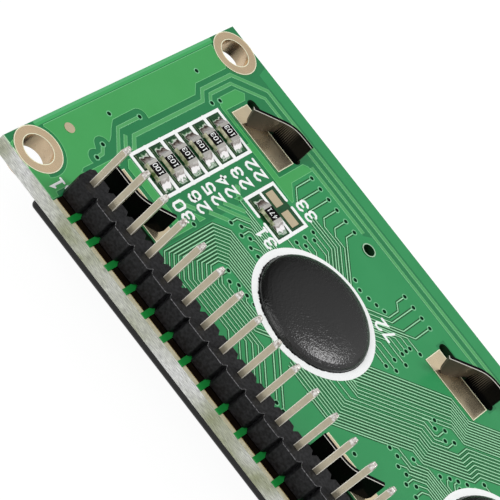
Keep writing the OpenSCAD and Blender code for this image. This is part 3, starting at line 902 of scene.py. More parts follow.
class RibbonPattern(Pattern):
    """Flat ribbons with sloped shoulders along each path.

    A level path holds its section upside down, so the section's top is the ribbon's foot.
    """

    name = "ribbon_along_path"
    sizes = ("Width", "Crown", "Thick")

    def wire(self, wiring: Wiring, given: bpy.types.NodeOutputs) -> bpy.types.NodeSocket:
        """Sweeps a trapezoid along each path.

        Args:
            wiring: the node tree to wire.
            given: the tree's named inputs.

        Returns:
            The finished geometry.
        """
        line = wiring.put("GeometryNodeMeshToCurve", {0: given["Geometry"]}).outputs[0]
        level = wiring.put("GeometryNodeSetCurveNormal", {0: line}, mode="Z_UP").outputs[0]
        section = wiring.put("GeometryNodeCurvePrimitiveQuadrilateral", mode="TRAPEZOID")
        for label, source in (("Top Width", "Width"), ("Bottom Width", "Crown"), ("Height", "Thick")):
            wiring.tree.links.new(given[source], section.inputs[label])
        section.inputs["Offset"].default_value = 0.0
        joins = {"Curve": level, "Profile Curve": section.outputs[0], "Fill Caps": True}
        return self.dress(wiring, wiring.put("GeometryNodeCurveToMesh", joins).outputs[0], given["Finish"])


class ViaPattern(Pattern):
    """A raised ring of resist round a dark well, painted as the shade in the via's hole, at each point."""

    name = "via_at_point"
    sizes = ("Ring", "Bore", "Thick")
    materials = ("Finish", "Well")
    sides = 20
    crown_share = 0.72
    well_depth = 0.85
    well_reach = 1.1

    def wire(self, wiring: Wiring, given: bpy.types.NodeOutputs) -> bpy.types.NodeSocket:
        """Sweeps the ring, fills the well and sets both on each point.

        Args:
            wiring: the node tree to wire.
            given: the tree's named inputs.

        Returns:
            The finished geometry.
        """
        middle = wiring.times(wiring.calc("ADD", given["Ring"], given["Bore"]), 0.5)
        width = wiring.calc("SUBTRACT", given["Ring"], given["Bore"])
        circle = wiring.put("GeometryNodeCurvePrimitiveCircle", {"Resolution": self.sides, "Radius": middle})
        level = wiring.put("GeometryNodeSetCurveNormal", {0: circle.outputs[0]}, mode="Z_UP").outputs[0]
        section = wiring.put("GeometryNodeCurvePrimitiveQuadrilateral",
                             {"Top Width": width, "Bottom Width": wiring.times(width, self.crown_share),
                              "Offset": 0.0, "Height": given["Thick"]}, mode="TRAPEZOID")
        ring = wiring.put("GeometryNodeCurveToMesh", {"Curve": level, "Profile Curve": section.outputs[0]})
        well = wiring.put("GeometryNodeMeshCylinder",
                          {"Vertices": self.sides, "Radius": wiring.times(given["Bore"], self.well_reach),
                           "Depth": wiring.times(given["Thick"], self.well_depth)})
        join = wiring.put("GeometryNodeJoinGeometry")
        for part, material in ((well.outputs["Mesh"], "Well"), (ring.outputs[0], "Finish")):
            joins = {"Geometry": part, "Material": given[material]}
            wiring.tree.links.new(wiring.put("GeometryNodeSetMaterial", joins).outputs[0], join.inputs[0])
        return self.real(wiring, self.sow(wiring, given["Geometry"], join.outputs[0]))


class TilePattern(Pattern):
    """A small rectangular tile at each point."""

    name = "tile_at_point"
    sizes = ("Long", "Wide", "Thick")

    def wire(self, wiring: Wiring, given: bpy.types.NodeOutputs) -> bpy.types.NodeSocket:
        """Sets one block on each point.

        Args:
            wiring: the node tree to wire.
            given: the tree's named inputs.

        Returns:
            The finished geometry.
        """
        sides = {place: given[label] for place, label in enumerate(self.sizes)}
        size = wiring.put("ShaderNodeCombineXYZ", sides).outputs[0]
        tile = wiring.put("GeometryNodeMeshCube", {"Size": size}).outputs["Mesh"]
        return self.dress(wiring, self.sow(wiring, given["Geometry"], tile), given["Finish"])


@dataclass
class Patterns:
    """The Geometry Nodes trees that the sub-assemblies share."""

    ribbon: RibbonPattern = field(default_factory=RibbonPattern)
    via: ViaPattern = field(default_factory=ViaPattern)
    tile: TilePattern = field(default_factory=TilePattern)


# ---- sub-assemblies ----

@dataclass(frozen=True)
class Levels:
    """Heights that the dressing stands on, read from the frame, in metres."""

    face: float
    coat: float

    @classmethod
    def read(cls) -> "Levels":
        """Reads the heights from the CAD nodes."""
        return cls(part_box("board")[1].z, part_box("resistor_coats")[1].z)


@dataclass(frozen=True)
class PrintRing:
    """A printed ring round a chip, in millimetres."""

    x: float
    y: float
    inner: float = 6.1
    outer: float = 6.9
    cover: float = 0.2
    lap: float = 0.05

    @classmethod
    def around(cls, node: str) -> "PrintRing":
        """Centres a ring on a chip's dome.

        Args:
            node: the dome's CAD node.

        Returns:
            The ring.
        """
        low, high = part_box(node)
        middle = (low + high) / (2 * MM)
        return cls(middle.x, middle.y)

    @property
    def hem(self) -> float:
        """Radius at which a track disappears under the print."""
        return self.outer - self.cover

    def circle(self, radius: float) -> Path:
        """Returns a full circle about the ring's middle, in steps of 2.5 degrees."""
        return arc((self.x, self.y), radius, 0, 357.5, 143)

    def side(self, y: float, right: bool) -> Point:
        """Returns the point of the ring's left or right side at a height of the plan."""
        reach = math.sqrt(self.hem ** 2 - (y - self.y) ** 2)
        return (self.x + (reach if right else -reach), y)

    def meet(self, start: Point, run: Point) -> Point:
        """Follows a line until it first meets the ring.

        Args:
            start: where the line starts.
            run: its direction on the plan.

        Returns:
            The point on the ring.
        """
        dx, dy = start[0] - self.x, start[1] - self.y
        a = run[0] ** 2 + run[1] ** 2
        b = 2 * (dx * run[0] + dy * run[1])
        c = dx * dx + dy * dy - self.hem ** 2
        t = (-b - math.sqrt(b * b - 4 * a * c)) / (2 * a)
        return (start[0] + t * run[0], start[1] + t * run[1])


@dataclass
class CopperFields:
    """Broad copper under the resist, and the far copper that shows through the laminate."""

    levels: Levels
    thick: float = 0.035
    far_thick: float = 0.01
    dark_thick: float = 0.015
    rim_band: Point = (-17.99, -17.87)
    rim_runs: tuple[Point, ...] = ((-39.98, -33.35), (7.45, 39.98))
    strip_wide: float = 0.29
    strip_half: float = 13.9
    opening_half: Point = (4.0, 0.72)
    slot: str = "board_laminate"

    def left_end(self) -> list[Path]:
        """Draws the large field at the left end, with its clearances round vias and land.

        Returns:
            The outlines.
        """
        edge = [(-39.33, 13.45), (-36.9, 13.15), (-36.55, 12.9), (-36.55, 7.75), (-35.6, 6.65), (-35.6, -1.0)]
        edge += arc((-36.05, -1.85), 0.93, 63, 180)
        edge += [(-36.95, -5.1), (-36.3, -6.0), (-35.75, -6.6), (-35.4, -7.1), (-35.25, -7.45)]
        edge += arc((-35.35, -8.35), 0.87, 82, 235)
        edge += arc((-34.55, -10.0), 0.9, 140, 290)
        edge += [(-34.25, -12.3), (-34.02, -12.75), (-33.82, -12.4), (-33.82, -8.1), (-32.95, -8.1),
                 (-32.95, -12.9), (-33.5, -13.4), (-33.5, -17.0), (-33.05, -17.1), (-33.05, -17.97),
                 (-36.45, -17.97)]
        edge += arc((-37.5, -15.5), 2.42, -66, -22)
        edge += arc((-37.5, -15.5), 2.85, -20, 124, 28)
        edge += [(-39.33, -13.05)]
        below_mark = [(-39.33, -17.0), (-39.0, -17.97), (-38.6, -17.97), (-39.33, -17.1)]
        return [edge, below_mark]

    def rim(self) -> list[Path]:
        """Returns the pale line along the header's edge of the board, beside the header."""
        return [oblong(*run, *self.rim_band) for run in self.rim_runs]

    def end_strip(self) -> list[Path]:
        """Returns the narrow strips between the large field and the board's end."""
        return [oblong(x, x + self.strip_wide, -self.strip_half, self.strip_half) for x in (-39.98, -39.69)]

    def round_the_lands(self) -> list[Path]:
        """Draws the fields round the first tab's lands and beside the resistors.

        Returns:
            The outlines.
        """
        upper = [(-29.2, 8.12), (-29.2, 8.5), (-33.4, 8.5), (-33.85, 8.75), (-34.38, 9.35), (-34.38, 12.0),
                 (-33.6, 12.8), (-32.95, 12.15), (-32.95, 8.95), (-25.0, 8.95), (-25.0, 13.1), (-24.5, 13.55),
                 (-23.95, 13.55), (-23.95, 9.95), (-22.35, 8.35), (-22.35, 8.05)]
        lower = [(-33.1, -6.5), (-25.7, -6.5), (-25.7, -5.2), (-25.0, -5.2), (-25.0, -8.9), (-25.75, -8.9),
                 (-25.75, -7.55), (-32.4, -7.55), (-33.1, -6.9)]
        wedge = [(-26.0, -4.1), (-25.1, -3.3), (-25.1, -4.3), (-26.0, -4.3)]
        side = [(-25.4, 1.6), (-24.95, 2.1), (-24.95, 2.7), (-25.4, 2.7)]
        return [upper, lower, wedge, side]

    def between_lands(self) -> list[Path]:
        """Returns the dark areas inside the printed frames: resist without far copper, darkened further as
        painted shade round the resistors.
        """
        return [oblong(-33.3, -28.55, -6.1, 7.8), oblong(-24.75, -19.95, 2.95, 7.55)]

    def far_copper(self) -> list[Path]:
        """Draws the area where the far side's copper shows.

        Returns:
            Its outline, and then its openings.
        """
        area = [(-24.7, 13.3), (-24.7, 13.65), (-16.2, 13.65), (-15.6, 14.6), (34.2, 14.6), (34.2, 12.8),
                (39.3, 12.8), (39.3, -12.8), (34.6, -12.8), (34.6, -17.9), (8.0, -17.9), (8.0, -13.0),
                (-24.7, -13.0)]
        openings = [arc((-14.8, 12.9), 0.78, 0, 345, 23)]
        long, wide = self.opening_half
        for x in (0.0, 29.0):
            openings += [oblong(x - long, x + long, y - wide, y + wide) for y in (12.65, -11.45)]
        return [area, *openings]

    def far_band(self) -> Path:
        """Returns the same copper's band along the board's far edge."""
        return [(-24.7, 16.45), (34.2, 16.45), (34.2, 17.97), (-34.9, 17.97), (-34.5, 16.45)]

    def build(self) -> list[bpy.types.Object]:
        """Makes the plates, the large fields first.

        Returns:
            The finished pieces.
        """
        outer, inner = self.end_strip()
        parts = (("copper_fields", whole(self.left_end() + self.round_the_lands()), self.thick, FIELD),
                 ("far_copper", [self.far_copper(), [self.far_band()]], self.far_thick, FAR_COPPER),
                 ("between_lands", whole(self.between_lands()), self.dark_thick, BETWEEN_LANDS_SHADE),
                 ("board_rim", whole(self.rim()), self.thick, RIM),
                 ("end_strip_outer", whole([outer]), self.thick, STRIP_OUTER),
                 ("end_strip_inner", whole([inner]), self.thick, STRIP_INNER))
        made = []
        for name, outlines, thick, finish in parts:
            mesh = plate(name, outlines, self.levels.face, thick)
            mesh.materials.append(finish.make())
            made.append(settle(link(name, mesh), self.slot))
        return made


@dataclass
class TrackWork:
    """Copper tracks under the resist, in millimetres on the plan of the component side."""

    levels: Levels
    patterns: Patterns
    controller: PrintRing
    driver: PrintRing
    thick: float = 0.035
    fine: float = 0.14
    medium: float = 0.42
    broad: float = 0.5
    # width of the painted highlight along each side of a medium or broad track
    border: float = 0.07
    border_thick: float = 0.03
    shoulder: float = 0.045
    # width and thickness of the painted shade strips beside the fine tracks
    gap_shade_width: float = 0.36
    gap_shade_thick: float = 0.013
    stagger: float = 0.0006
    via_lead: float = 0.3
    header_line: float = -13.2
    slot: str = "board_laminate"

    def left_comb(self) -> list[Path]:
        """Draws the nested tracks from the first chip's left side down to the header.

        Returns:
            The tracks' middle lines.
        """
        ends = (-19.0, -17.5, -15.7, -14.6, -14.05, -13.6, -13.15, -12.75)
        runs = (-11.3, -10.8, -10.25, -9.8, -9.32, -8.8, -8.38, -7.95)
        paths = []
        for i in range(11):
            level, column = -1.55 - 0.323 * i, -24.44 + 0.315 * i
            knee, foot = -2.95 - 0.26 * i, -10.55 + 0.38 * i
            path = [self.controller.side(level, False), (column + level - knee, level), (column, knee),
                    (column, foot)]
            if i < 3:
                path.append((column + foot - self.header_line, self.header_line))
            else:
                run, end = runs[i - 3], ends[i - 3]
                path += [(column + foot - run, run), (end, run),
                         (end + run - self.header_line, self.header_line)]
            paths.append(path)
        return paths

    def under_first_chip(self) -> list[Path]:
        """Draws the short tracks below the first chip's ring.

        Returns:
            The tracks' middle lines.
        """
        ring = self.controller
        paths = [
            [(-20.1, -5.4), (-20.1, -6.35), (-19.4, -7.05), (-14.45, -7.05),
             ring.meet((-14.45, -7.05), (1, 1))],
            [(-20.55, -6.45), (-19.55, -7.47), (-14.35, -7.47), ring.meet((-14.35, -7.47), (1, 1))],
            [(-19.2, -6.2), (-18.8, -6.61), (-14.8, -6.61), (-14.55, -6.4)],
            [(-18.5, -5.5), (-17.7, -6.28), (-14.3, -6.28)],
            [(-17.35, -5.5), (-16.9, -5.95), (-14.7, -5.95)],
            [ring.meet((-7.5, -10.8), (-1, 1)), (-7.25, -11.05)],
            [ring.meet((-8.4, -10.85), (-1, 1)), (-8.2, -11.05)],
        ]
        return paths

    def bundle(self) -> list[Path]:
        """Draws the slanting tracks between the two chips.

        Returns:
            The tracks' middle lines.
        """
        crossings = (-8.1, -7.6, -7.07, -6.57, -6.03, -5.5, -5.0, -4.42, -3.8, -3.23, -2.62,
                     -2.02, -1.4, -0.88, -0.32, 0.2, 0.74, 1.19, 1.68, 2.16, 2.64, 3.05)
        starts = (-0.9, -1.23, -1.53, -1.85, -2.75, -3.5, -3.9, -4.3, -4.7, -5.12, -5.53, -5.92, -6.31,
                  -6.77, -7.12)
        jogs = (3.46, 3.12, 2.61, 2.19, 1.8, 1.45, 1.06, 0.64, 0.26, -0.1, -0.38, -1.81)
        ring = self.controller
        paths = []
        for k, slant in enumerate(crossings):
            if k < 7:
                path = [ring.meet((slant + 6, 6.0), (-1, -1))]
            else:
                level = starts[k - 7]
                begin = ring.side(level, True) if level > -6 else (-10.4 + 0.4 * (-6.31 - level), level)
                if level < -7:
                    begin = (-7.4, level)
                path = [begin, (slant + level, level)]
            if k < 10:
                level, turn = 8.8 - 0.3 * k, 3.3 + 0.145 * k
                path += [(slant + level, level), (turn, level)] + self.climb((turn, level), k)
            else:
                level = jogs[k - 10]
                path.append((slant + level, level))
                path += self.after_jog(k, level)
            paths.append(path)
        return paths

    def climb(self, start: Point, place: int) -> Path:
        """Draws the slanting run up to the row of vias above the second chip.

        Args:
            start: where the run begins.
            place: the track's place in the row.

        Returns:
            The run's further points.
        """
        top = staggered(place)
        bend = top - self.via_lead
        column = start[0] + bend - start[1]
        return [(column, bend), (column, top)]

    def after_jog(self, k: int, level: float) -> Path:
        """Draws the rest of a slanting track from its level jog on.

        Args:
            k: the track's place in the bundle.
            level: how far up the plan the jog lies.

        Returns:
            The track's further points.
        """
        if k == 10:
            return [(2.35, level), (2.63, 3.75), (2.63, 5.0)]
        if k == 11:
            return [(2.65, level), (3.35, 3.85)]
        if k == 12:
            return [(2.75, level), (4.0, 3.86), (4.0, 5.0)]
        if k == 21:
            return [(3.2, level), (4.5, -0.55), self.driver.side(-0.55, False)]
        place = k - 13
        slant, column, top = 0.68 + 0.48 * place, 5.1 + 0.393 * place, 5.95 - 0.14 * place
        knees = [(slant + level, level), (column, column - slant), (column, top)]
        return knees + self.climb((column, top), place)

    def at_second_chip(self) -> list[Path]:
        """Draws the tracks that reach the second chip's left side.

        Returns:
            The tracks' middle lines.
        """
        side = self.driver.side
        return [
            [(2.85, -1.1), (3.45, -1.1), (4.35, -0.23), side(-0.23, False)],
            [(2.0, -2.2), (3.35, -2.2), (4.7, -0.85), side(-0.85, False)],
            [(2.5, -3.3), (2.5, -3.1), (3.05, -2.55), (3.45, -2.55), (4.85, -1.15), side(-1.15, False)],
            [(3.5, -3.2), (3.5, -3.0), (5.05, -1.46), side(-1.46, False)],
            [(4.15, -4.0), (4.15, -2.87), (5.25, -1.77), side(-1.77, False)],
            [(4.85, -3.15), (4.85, -2.85), (5.62, -2.08), side(-2.08, False)],
            [(5.55, -4.1), (5.55, -2.98), (6.13, -2.4), side(-2.4, False)],
            [(6.2, 1.3), (6.2, 0.85), (6.6, 0.42), side(0.42, False)],
            [(5.5, 0.4), (5.82, 0.09), side(0.09, False)],
            [(6.85, 2.0), (6.85, 1.35), (7.4, 0.8)],
            [(8.6, 4.72), (9.9, 4.72)],
            [(1.9, 4.1), (0.95, 4.1), (0.45, 3.6)],
        ]

    def above_first_chip(self) -> list[Path]:
        """Draws the tracks from the upper vias and the capacitor down to the first chip.

        Returns:
            The tracks' middle lines.
        """
        ring = self.controller
        paths = [
            [(-23.4, 12.85), (-23.4, 10.05), (-21.9, 8.55)],
            [(-22.1, 12.85), (-22.1, 8.9)],
            [(-20.85, 12.85), (-20.85, 9.3), (-20.3, 8.95)],
        ]
        for x, foot, level, knee in ((-19.6, 10.5, 9.79, -16.55), (-18.25, 10.85, 10.17, -16.2)):
            turn = (knee, level)
            paths.append([(x, 12.85), (x, foot), (x + foot - level, level), turn, ring.meet(turn, (1, -1))])
        paths.append([(-16.95, 12.85), (-16.95, 11.4), ring.meet((-16.95, 11.4), (1, -1))])
        for x, level, knee in ((-20.2, 9.33, -16.65), (-20.2, 8.95, -16.7), (-20.2, 8.51, -16.8),
                               (-19.0, 7.85, -16.75), (-18.3, 7.25, -16.55), (-19.0, 6.4, -17.3)):
            turn = (knee, level)
            paths.append([(x, level), turn, ring.meet(turn, (1, -1))])
        for x, level in ((-18.3, 5.7), (-19.0, 4.95), (-19.9, 4.2)):
            paths.append([(x, level), ring.side(level, False)])
        paths += [
            [(-9.35, 12.85), (-9.35, 11.35), (-8.6, 10.65), (-8.6, 8.95), ring.meet((-8.6, 8.95), (-1, -1))],
            [(-8.05, 12.85), (-8.05, 8.85), ring.meet((-8.05, 8.85), (-1, -1))],
            [(-6.8, 12.85), (-6.8, 9.4), ring.meet((-6.8, 9.4), (-1, -1))],
            [(-5.6, 12.85), (-5.6, 10.15), ring.meet((-5.6, 10.15), (-1, -1))],
        ]
        for x, level, knee in ((-4.2, 9.2, -6.1), (-5.2, 8.5, -6.5), (-5.2, 7.8, -6.75), (-5.2, 7.1, -7.1),
                               (-4.2, 6.5, -7.1), (-5.2, 5.65, -7.2)):
            turn = (knee, level)
            paths.append([(x, level), turn, ring.meet(turn, (-1, -1))])
        paths += [[(-4.3, 4.85), ring.side(4.85, True)], [(-5.2, 4.1), ring.side(4.1, True)]]
        return paths

    def beside_resistors(self) -> list[Path]:
        """Draws the tracks between the resistors and the first chip.

        Returns:
            The tracks' middle lines.
        """
        side = self.controller.side
        return [
            [(-25.0, 2.18), side(2.18, False)], [(-23.9, 1.88), side(1.88, False)],
            [(-22.95, 1.57), side(1.57, False)],
            [(-23.7, -0.85), (-23.7, 0.2), (-22.64, 1.26), side(1.26, False)],
            [(-22.85, 0.0), (-22.85, 0.25), (-22.15, 0.95), side(0.95, False)],
            [(-22.15, -0.8), (-22.15, 0.4), (-21.9, 0.65), side(0.65, False)],
            [(-21.5, -0.1), (-21.05, 0.35), side(0.35, False)],
            [(-20.75, -0.85), (-20.75, -0.65), (-20.05, 0.05), side(0.05, False)],
        ]

    def medium_tracks(self) -> list[Path]:
        """Draws the medium tracks.

        Returns:
            The tracks' middle lines.
        """
        return [
            [(-34.2, 7.85), (-34.45, 7.95), (-35.05, 8.55), (-35.05, 12.05), (-32.22, 14.88), (34.0, 14.88),
             (36.2, 12.68), (36.2, -9.0)],
            [(-35.35, -8.3), (-34.62, -9.05), (-34.55, -10.0)],
            [(-36.1, -1.85), (-36.1, -5.2), (-33.4, -7.9)],
            [(-35.2, -5.0), (-33.6, -6.6)],
            [(-25.6, -0.95), (-24.1, 0.42), (-22.95, 1.57)],
        ]

    def broad_tracks(self) -> list[Path]:
        """Draws the broad tracks.

        Returns:
            The tracks' middle lines.
        """
        return [
            [(-33.5, -5.4), (-34.8, -4.1), (-34.8, 7.0), (-35.8, 8.0), (-35.8, 12.9), (-32.75, 15.95),
             (34.6, 15.95), (37.3, 13.25), (37.3, -9.0)],
            [(-24.3, 13.88), (-16.4, 13.88)],
            [(-25.6, 0.05), (-23.85, 1.8)], [(-25.5, -2.4), (-23.9, -0.85)],
            [(-27.9, -4.7), (-27.4, -4.7), (-26.3, -3.6)], [(-26.3, 3.3), (-25.4, 2.4), (-24.9, 2.2)],
        ]

    def unseen_half(self) -> list[Path]:
        """Draws a plain comb from the second chip to the display's contacts on the right.

        Returns:
            The tracks' middle lines.
        """
        paths = []
        for i in range(9):
            up, far, end = 0.5 + 0.42 * i, 22.4 + 0.42 * i, 8.6 + 0.42 * i
            down = -up - 0.8
            paths.append([self.driver.side(up, True), (far, up), (far + 0.6, up + 0.6), (far + 0.6, end)])
            paths.append([self.driver.side(down, True), (far, down), (far + 0.6, down - 0.6),
                          (far + 0.6, 1.2 - end)])
        for i in range(6):
            x, low = 11.2 + 1.0 * i, -9.8 - 0.3 * i
            paths.append([(x, -7.0), (x, low + 1.2), (x + 1.2, low), (24.0, low)])
        return paths

    def bordered(self, name: str, paths: list[Path], width: float) -> tuple[tuple, tuple]:
        """Splits a track into its shoulders, which carry a painted highlight, and its top.

        Args:
            name: the piece's name.
            paths: the tracks' middle lines.
            width: their full width.

        Returns:
            The two groups of ribbons.
        """
        inner = width - 2 * self.border
        return ((name + "_side_highlights", paths, width, width - self.shoulder, self.border_thick, TRACK_HIGHLIGHT),
                (name, paths, inner, inner - self.stagger, self.thick, TRACK))

    def build(self) -> list[bpy.types.Object]:
        """Grows the ribbons of each width, and the dark strips of painted shade beside the fine ones.

        Returns:
            The finished pieces.
        """
        fine = (self.left_comb() + self.under_first_chip() + self.bundle() + self.at_second_chip()
                + self.above_first_chip() + self.beside_resistors() + self.unseen_half())
        made = []
        groups = (
            ("track_gap_shade", fine, self.gap_shade_width, self.gap_shade_width - self.stagger, self.gap_shade_thick, GAP_SHADE),
            ("fine_tracks", fine, self.fine, self.fine - self.shoulder, self.thick, FINE_TRACK),
            *self.bordered("medium_tracks", self.medium_tracks(), self.medium),
            *self.bordered("broad_tracks", self.broad_tracks(), self.broad))
        for name, paths, width, crown, thick, finish in groups:
            seed = threads(name + "_lines", paths, self.levels.face + thick * MM / 2, self.stagger)
            piece = self.patterns.ribbon.grow(name, seed, Width=width, Crown=crown, Thick=thick,
                                              Finish=finish.make())
            made.append(settle(piece, self.slot))
        return made


@dataclass
class ViaWork:
    """Small vias, closed over by resist, in millimetres on the plan."""

    levels: Levels
    patterns: Patterns
    ring: float = 0.34
    bore: float = 0.2
    thick: float = 0.045
    slot: str = "board_laminate"

    def places(self) -> Path:
        """Lists where the vias stand.

        Returns:
            Every via's place.
        """
        upper = [(x, 12.85) for x in (-23.4, -22.1, -20.85, -19.6, -18.25, -16.95, -9.35, -8.05, -6.8, -5.6)]
        left = [(-37.6, 9.05), (-34.05, 9.05), (-34.2, 7.85), (-37.6, -5.0), (-36.1, -1.85), (-35.35, -8.3),
                (-34.55, -10.0), (-25.2, -5.15)]
        by_ring = [(-19.0, 7.85), (-18.3, 7.25), (-19.0, 6.4), (-18.3, 5.7), (-19.0, 4.95), (-23.65, -0.85),
                   (-22.85, 0.0), (-22.15, -0.8), (-21.5, -0.1), (-20.75, -0.85), (-19.75, -0.8),
                   (-20.1, -5.3), (-19.2, -6.1), (-18.5, -5.4), (-17.35, -5.4), (-16.3, -5.4),
                   (-13.2, 8.4), (-12.2, 8.0), (-11.1, 8.3), (-10.2, 8.6), (-9.3, 8.95)]
        middle = [(-4.2, 9.2), (-5.2, 8.5), (-5.2, 7.8), (-5.2, 7.1), (-4.2, 6.5), (-5.2, 5.65), (-4.3, 4.85),
                  (-5.2, 4.1), (1.3, 4.8), (1.9, 4.1), (2.63, 5.05), (3.35, 4.15), (4.0, 5.05), (2.85, -1.1),
                  (0.75, -2.7), (1.75, -2.6), (2.5, -3.4), (3.5, -3.2), (4.85, -3.15), (4.15, -4.05),
                  (-0.7, -7.1), (-7.25, -11.15), (-8.2, -11.15)]
        at_driver = [(8.6, 4.7), (8.5, 3.25), (7.6, 2.75), (6.85, 2.0), (7.5, 1.5), (6.2, 1.3), (5.5, 0.4),
                     (5.55, -4.1)]
        rows = []
        for start, step, count in ((6.4, 0.445, 10), (11.05, 0.533, 8)):
            rows += [(start + step * k + staggered(k) - 12.2, staggered(k)) for k in range(count)]
        combs = []
        for foot, step in ((8.6, 0.42), (-7.4, -0.42)):
            combs += [(23.0 + 0.42 * i, foot + step * i) for i in range(9)]
        return upper + left + by_ring + middle + at_driver + rows + combs

    def build(self) -> bpy.types.Object:
        """Grows the vias on their places.

        Returns:
            The finished piece.
        """
        seed = threads("via_places", [self.places()], self.levels.face + self.thick * MM / 2)
        piece = self.patterns.via.grow("vias", seed, Ring=self.ring, Bore=self.bore, Thick=self.thick,
                                       Finish=VIA.make(), Well=WELL_SHADE.make())
        return settle(piece, self.slot)


DIGITS: dict[str, list[Path]] = {
    "0": [[(0, 1), (0, 5), (1, 6), (3, 6), (4, 5), (4, 1), (3, 0), (1, 0), (0, 1)]],
    "1": [[(1, 5), (2, 6), (2, 0)], [(0.8, 0), (3.2, 0)]],
    "2": [[(0, 5), (1, 6), (3, 6), (4, 5), (4, 4), (0, 0), (4, 0)]],
    "3": [[(0, 5), (1, 6), (3, 6), (4, 5), (4, 4), (3, 3.1), (1.4, 3.1)],
          [(3, 3.1), (4, 2.2), (4, 1), (3, 0), (1, 0), (0, 1)]],
    "4": [[(3, 0), (3, 6), (0, 2), (4.2, 2)]],
    "5": [[(4, 6), (0, 6), (0, 3.5), (3, 3.5), (4, 2.6), (4, 1), (3, 0), (1, 0), (0, 1)]],
    "6": [[(4, 5), (3, 6), (1, 6), (0, 5), (0, 1), (1, 0), (3, 0), (4, 1), (4, 2.4), (3, 3.3), (0, 3.3)]],
    "7": [[(0, 6), (4, 6), (1.4, 0)]],
}


def number_strokes(number: str, centre: Point, high: float, stroke: float, slim: float = 0.88) -> list[Path]:
    """Writes a plain number that reads from the far side of the board.

    Args:
        number: its digits.
        centre: the middle of the number, in millimetres.
        high: full height of the digits.
        stroke: width of the pen, which stays inside the height.
        slim: width of a digit against its height.

    Returns:
        The strokes' middle lines.
    """
    unit = (high - stroke) / 6
    across = unit * slim
    advance = 4 * across + stroke * DIGIT_GAP
    start = -(advance * (len(number) - 1) + 4 * across) / 2
    lines = []
    for place, digit in enumerate(number):
        left = start + place * advance
        for line in DIGITS[digit]:
            lines.append([(centre[0] - left - x * across, centre[1] - (y - 3) * unit) for x, y in line])
    return lines


@dataclass
class PrintWork:
    """White print on the component side: rings, frames and plain position numbers."""

    levels: Levels
    rings: tuple[PrintRing, ...]
    thick: float = 0.055
    label_high: float = 1.6
    label_pen: float = 0.26
    frame_pen: float = 0.34
    bar_pen: float = 0.44
    bar_share: float = 0.985
    bar_top: float = 5.455
    bar_step: float = 2.334
    pin_high: float = 1.75
    pin_pen: float = 0.24
    bank: tuple[float, float, float, float] = (-33.38, -28.47, -6.18, 7.88)
    pair: tuple[float, float, float, float] = (-24.83, -19.87, 2.87, 7.63)
    slot: str = "board_laminate"

    def strokes(self, name: str, lines: list[Path], pen: float, full: float = 1.0) -> bpy.types.Object:
        """Lays one set of printed strokes at a share of the full thickness."""
        return settle(print_strokes(name, lines, pen, self.levels.face, self.thick * full), self.slot)

    def chip_rings(self) -> bpy.types.Object:
        """Makes the two flat rings.

        Returns:
            The finished piece.
        """
        outlines = [[ring.circle(ring.outer), ring.circle(ring.inner - ring.lap)] for ring in self.rings]
        mesh = plate("chip_rings", outlines, self.levels.face, self.thick)
        mesh.materials.append(INK.make())
        return settle(link("chip_rings", mesh), self.slot)

    def bank_frame(self) -> tuple[list[Path], list[Path]]:
        """Draws the frame round the six resistors.

        Returns:
            Its outline, and the bars across it.
        """
        left, right = self.bank[:2]
        outline = oblong(*self.bank)
        levels = [self.bar_top - self.bar_step * i for i in range(5)]
        return [outline + outline[:1]], [[(left, y), (right, y)] for y in levels]

    def pair_frame(self) -> list[Path]:
        """Draws the frame round the single resistor and the bare lands, open in the middle.

        Returns:
            The strokes' middle lines.
        """
        left, right, low, high = self.pair
        return [[(-22.85, high), (left, high), (left, low), (-22.85, low)],
                [(-21.95, high), (right, high), (right, low), (-21.95, low)],
                [(left, 5.19), (-22.95, 5.19)], [(-21.75, 5.19), (right, 5.19)]]

    def numbers(self) -> list[Path]:
        """Writes the position numbers.

        Returns:
            The strokes' middle lines.
        """
        places = [("22", (-26.7, 6.8)), ("23", (-26.7, 4.35)), ("24", (-26.7, 1.95)), ("25", (-26.7, -0.3)),
                  ("26", (-26.7, -2.65)), ("30", (-26.65, -5.15)), ("31", (-20.85, 1.8)),
                  ("33", (-21.0, 9.05)), ("72", (-7.85, 7.3))]
        lines: list[Path] = []
        for number, centre in places:
            lines += number_strokes(number, centre, self.label_high, self.label_pen)
        return lines

    def first_pin(self) -> list[Path]:
        """Returns the number of the header's first pin and the tick beside it."""
        tick = [(-33.45, -15.45), (-33.36, -15.75)]
        return number_strokes("1", (-34.1, -16.3), self.pin_high, self.pin_pen) + [tick]

    def build(self) -> list[bpy.types.Object]:
        """Makes all the print.

        Returns:
            The finished pieces.
        """
        outline, bars = self.bank_frame()
        return [self.chip_rings(),
                self.strokes("frame_lines", outline + self.pair_frame(), self.frame_pen),
                self.strokes("frame_bars", bars, self.bar_pen, self.bar_share),
                self.strokes("position_numbers", self.numbers(), self.label_pen),
                self.strokes("first_pin_number", self.first_pin(), self.pin_pen)]


@dataclass
class ResistorCodes:
    """Plain three-digit numbers on the resistors' coats."""

    levels: Levels
    high: float = 0.66
    pen: float = 0.078
    slim: float = 0.72
    thick: float = 0.012
    codes: tuple[str, ...] = ("103", "103", "103", "103", "103", "471", "100")
    slot: str = "resistor_coat"

    def build(self) -> bpy.types.Object:
        """Prints a number in the middle of each coat.

        Returns:
            The finished piece.
        """
        lines: list[Path] = []
        for place, code in enumerate(self.codes, 1):
            low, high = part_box(f"resistor_{place}")
            middle = (low + high) / (2 * MM)
            lines += number_strokes(code, (middle.x, middle.y), self.high, self.pen, self.slim)
        piece = print_strokes("resistor_codes", lines, self.pen, self.levels.coat, self.thick)
        return settle(piece, self.slot)


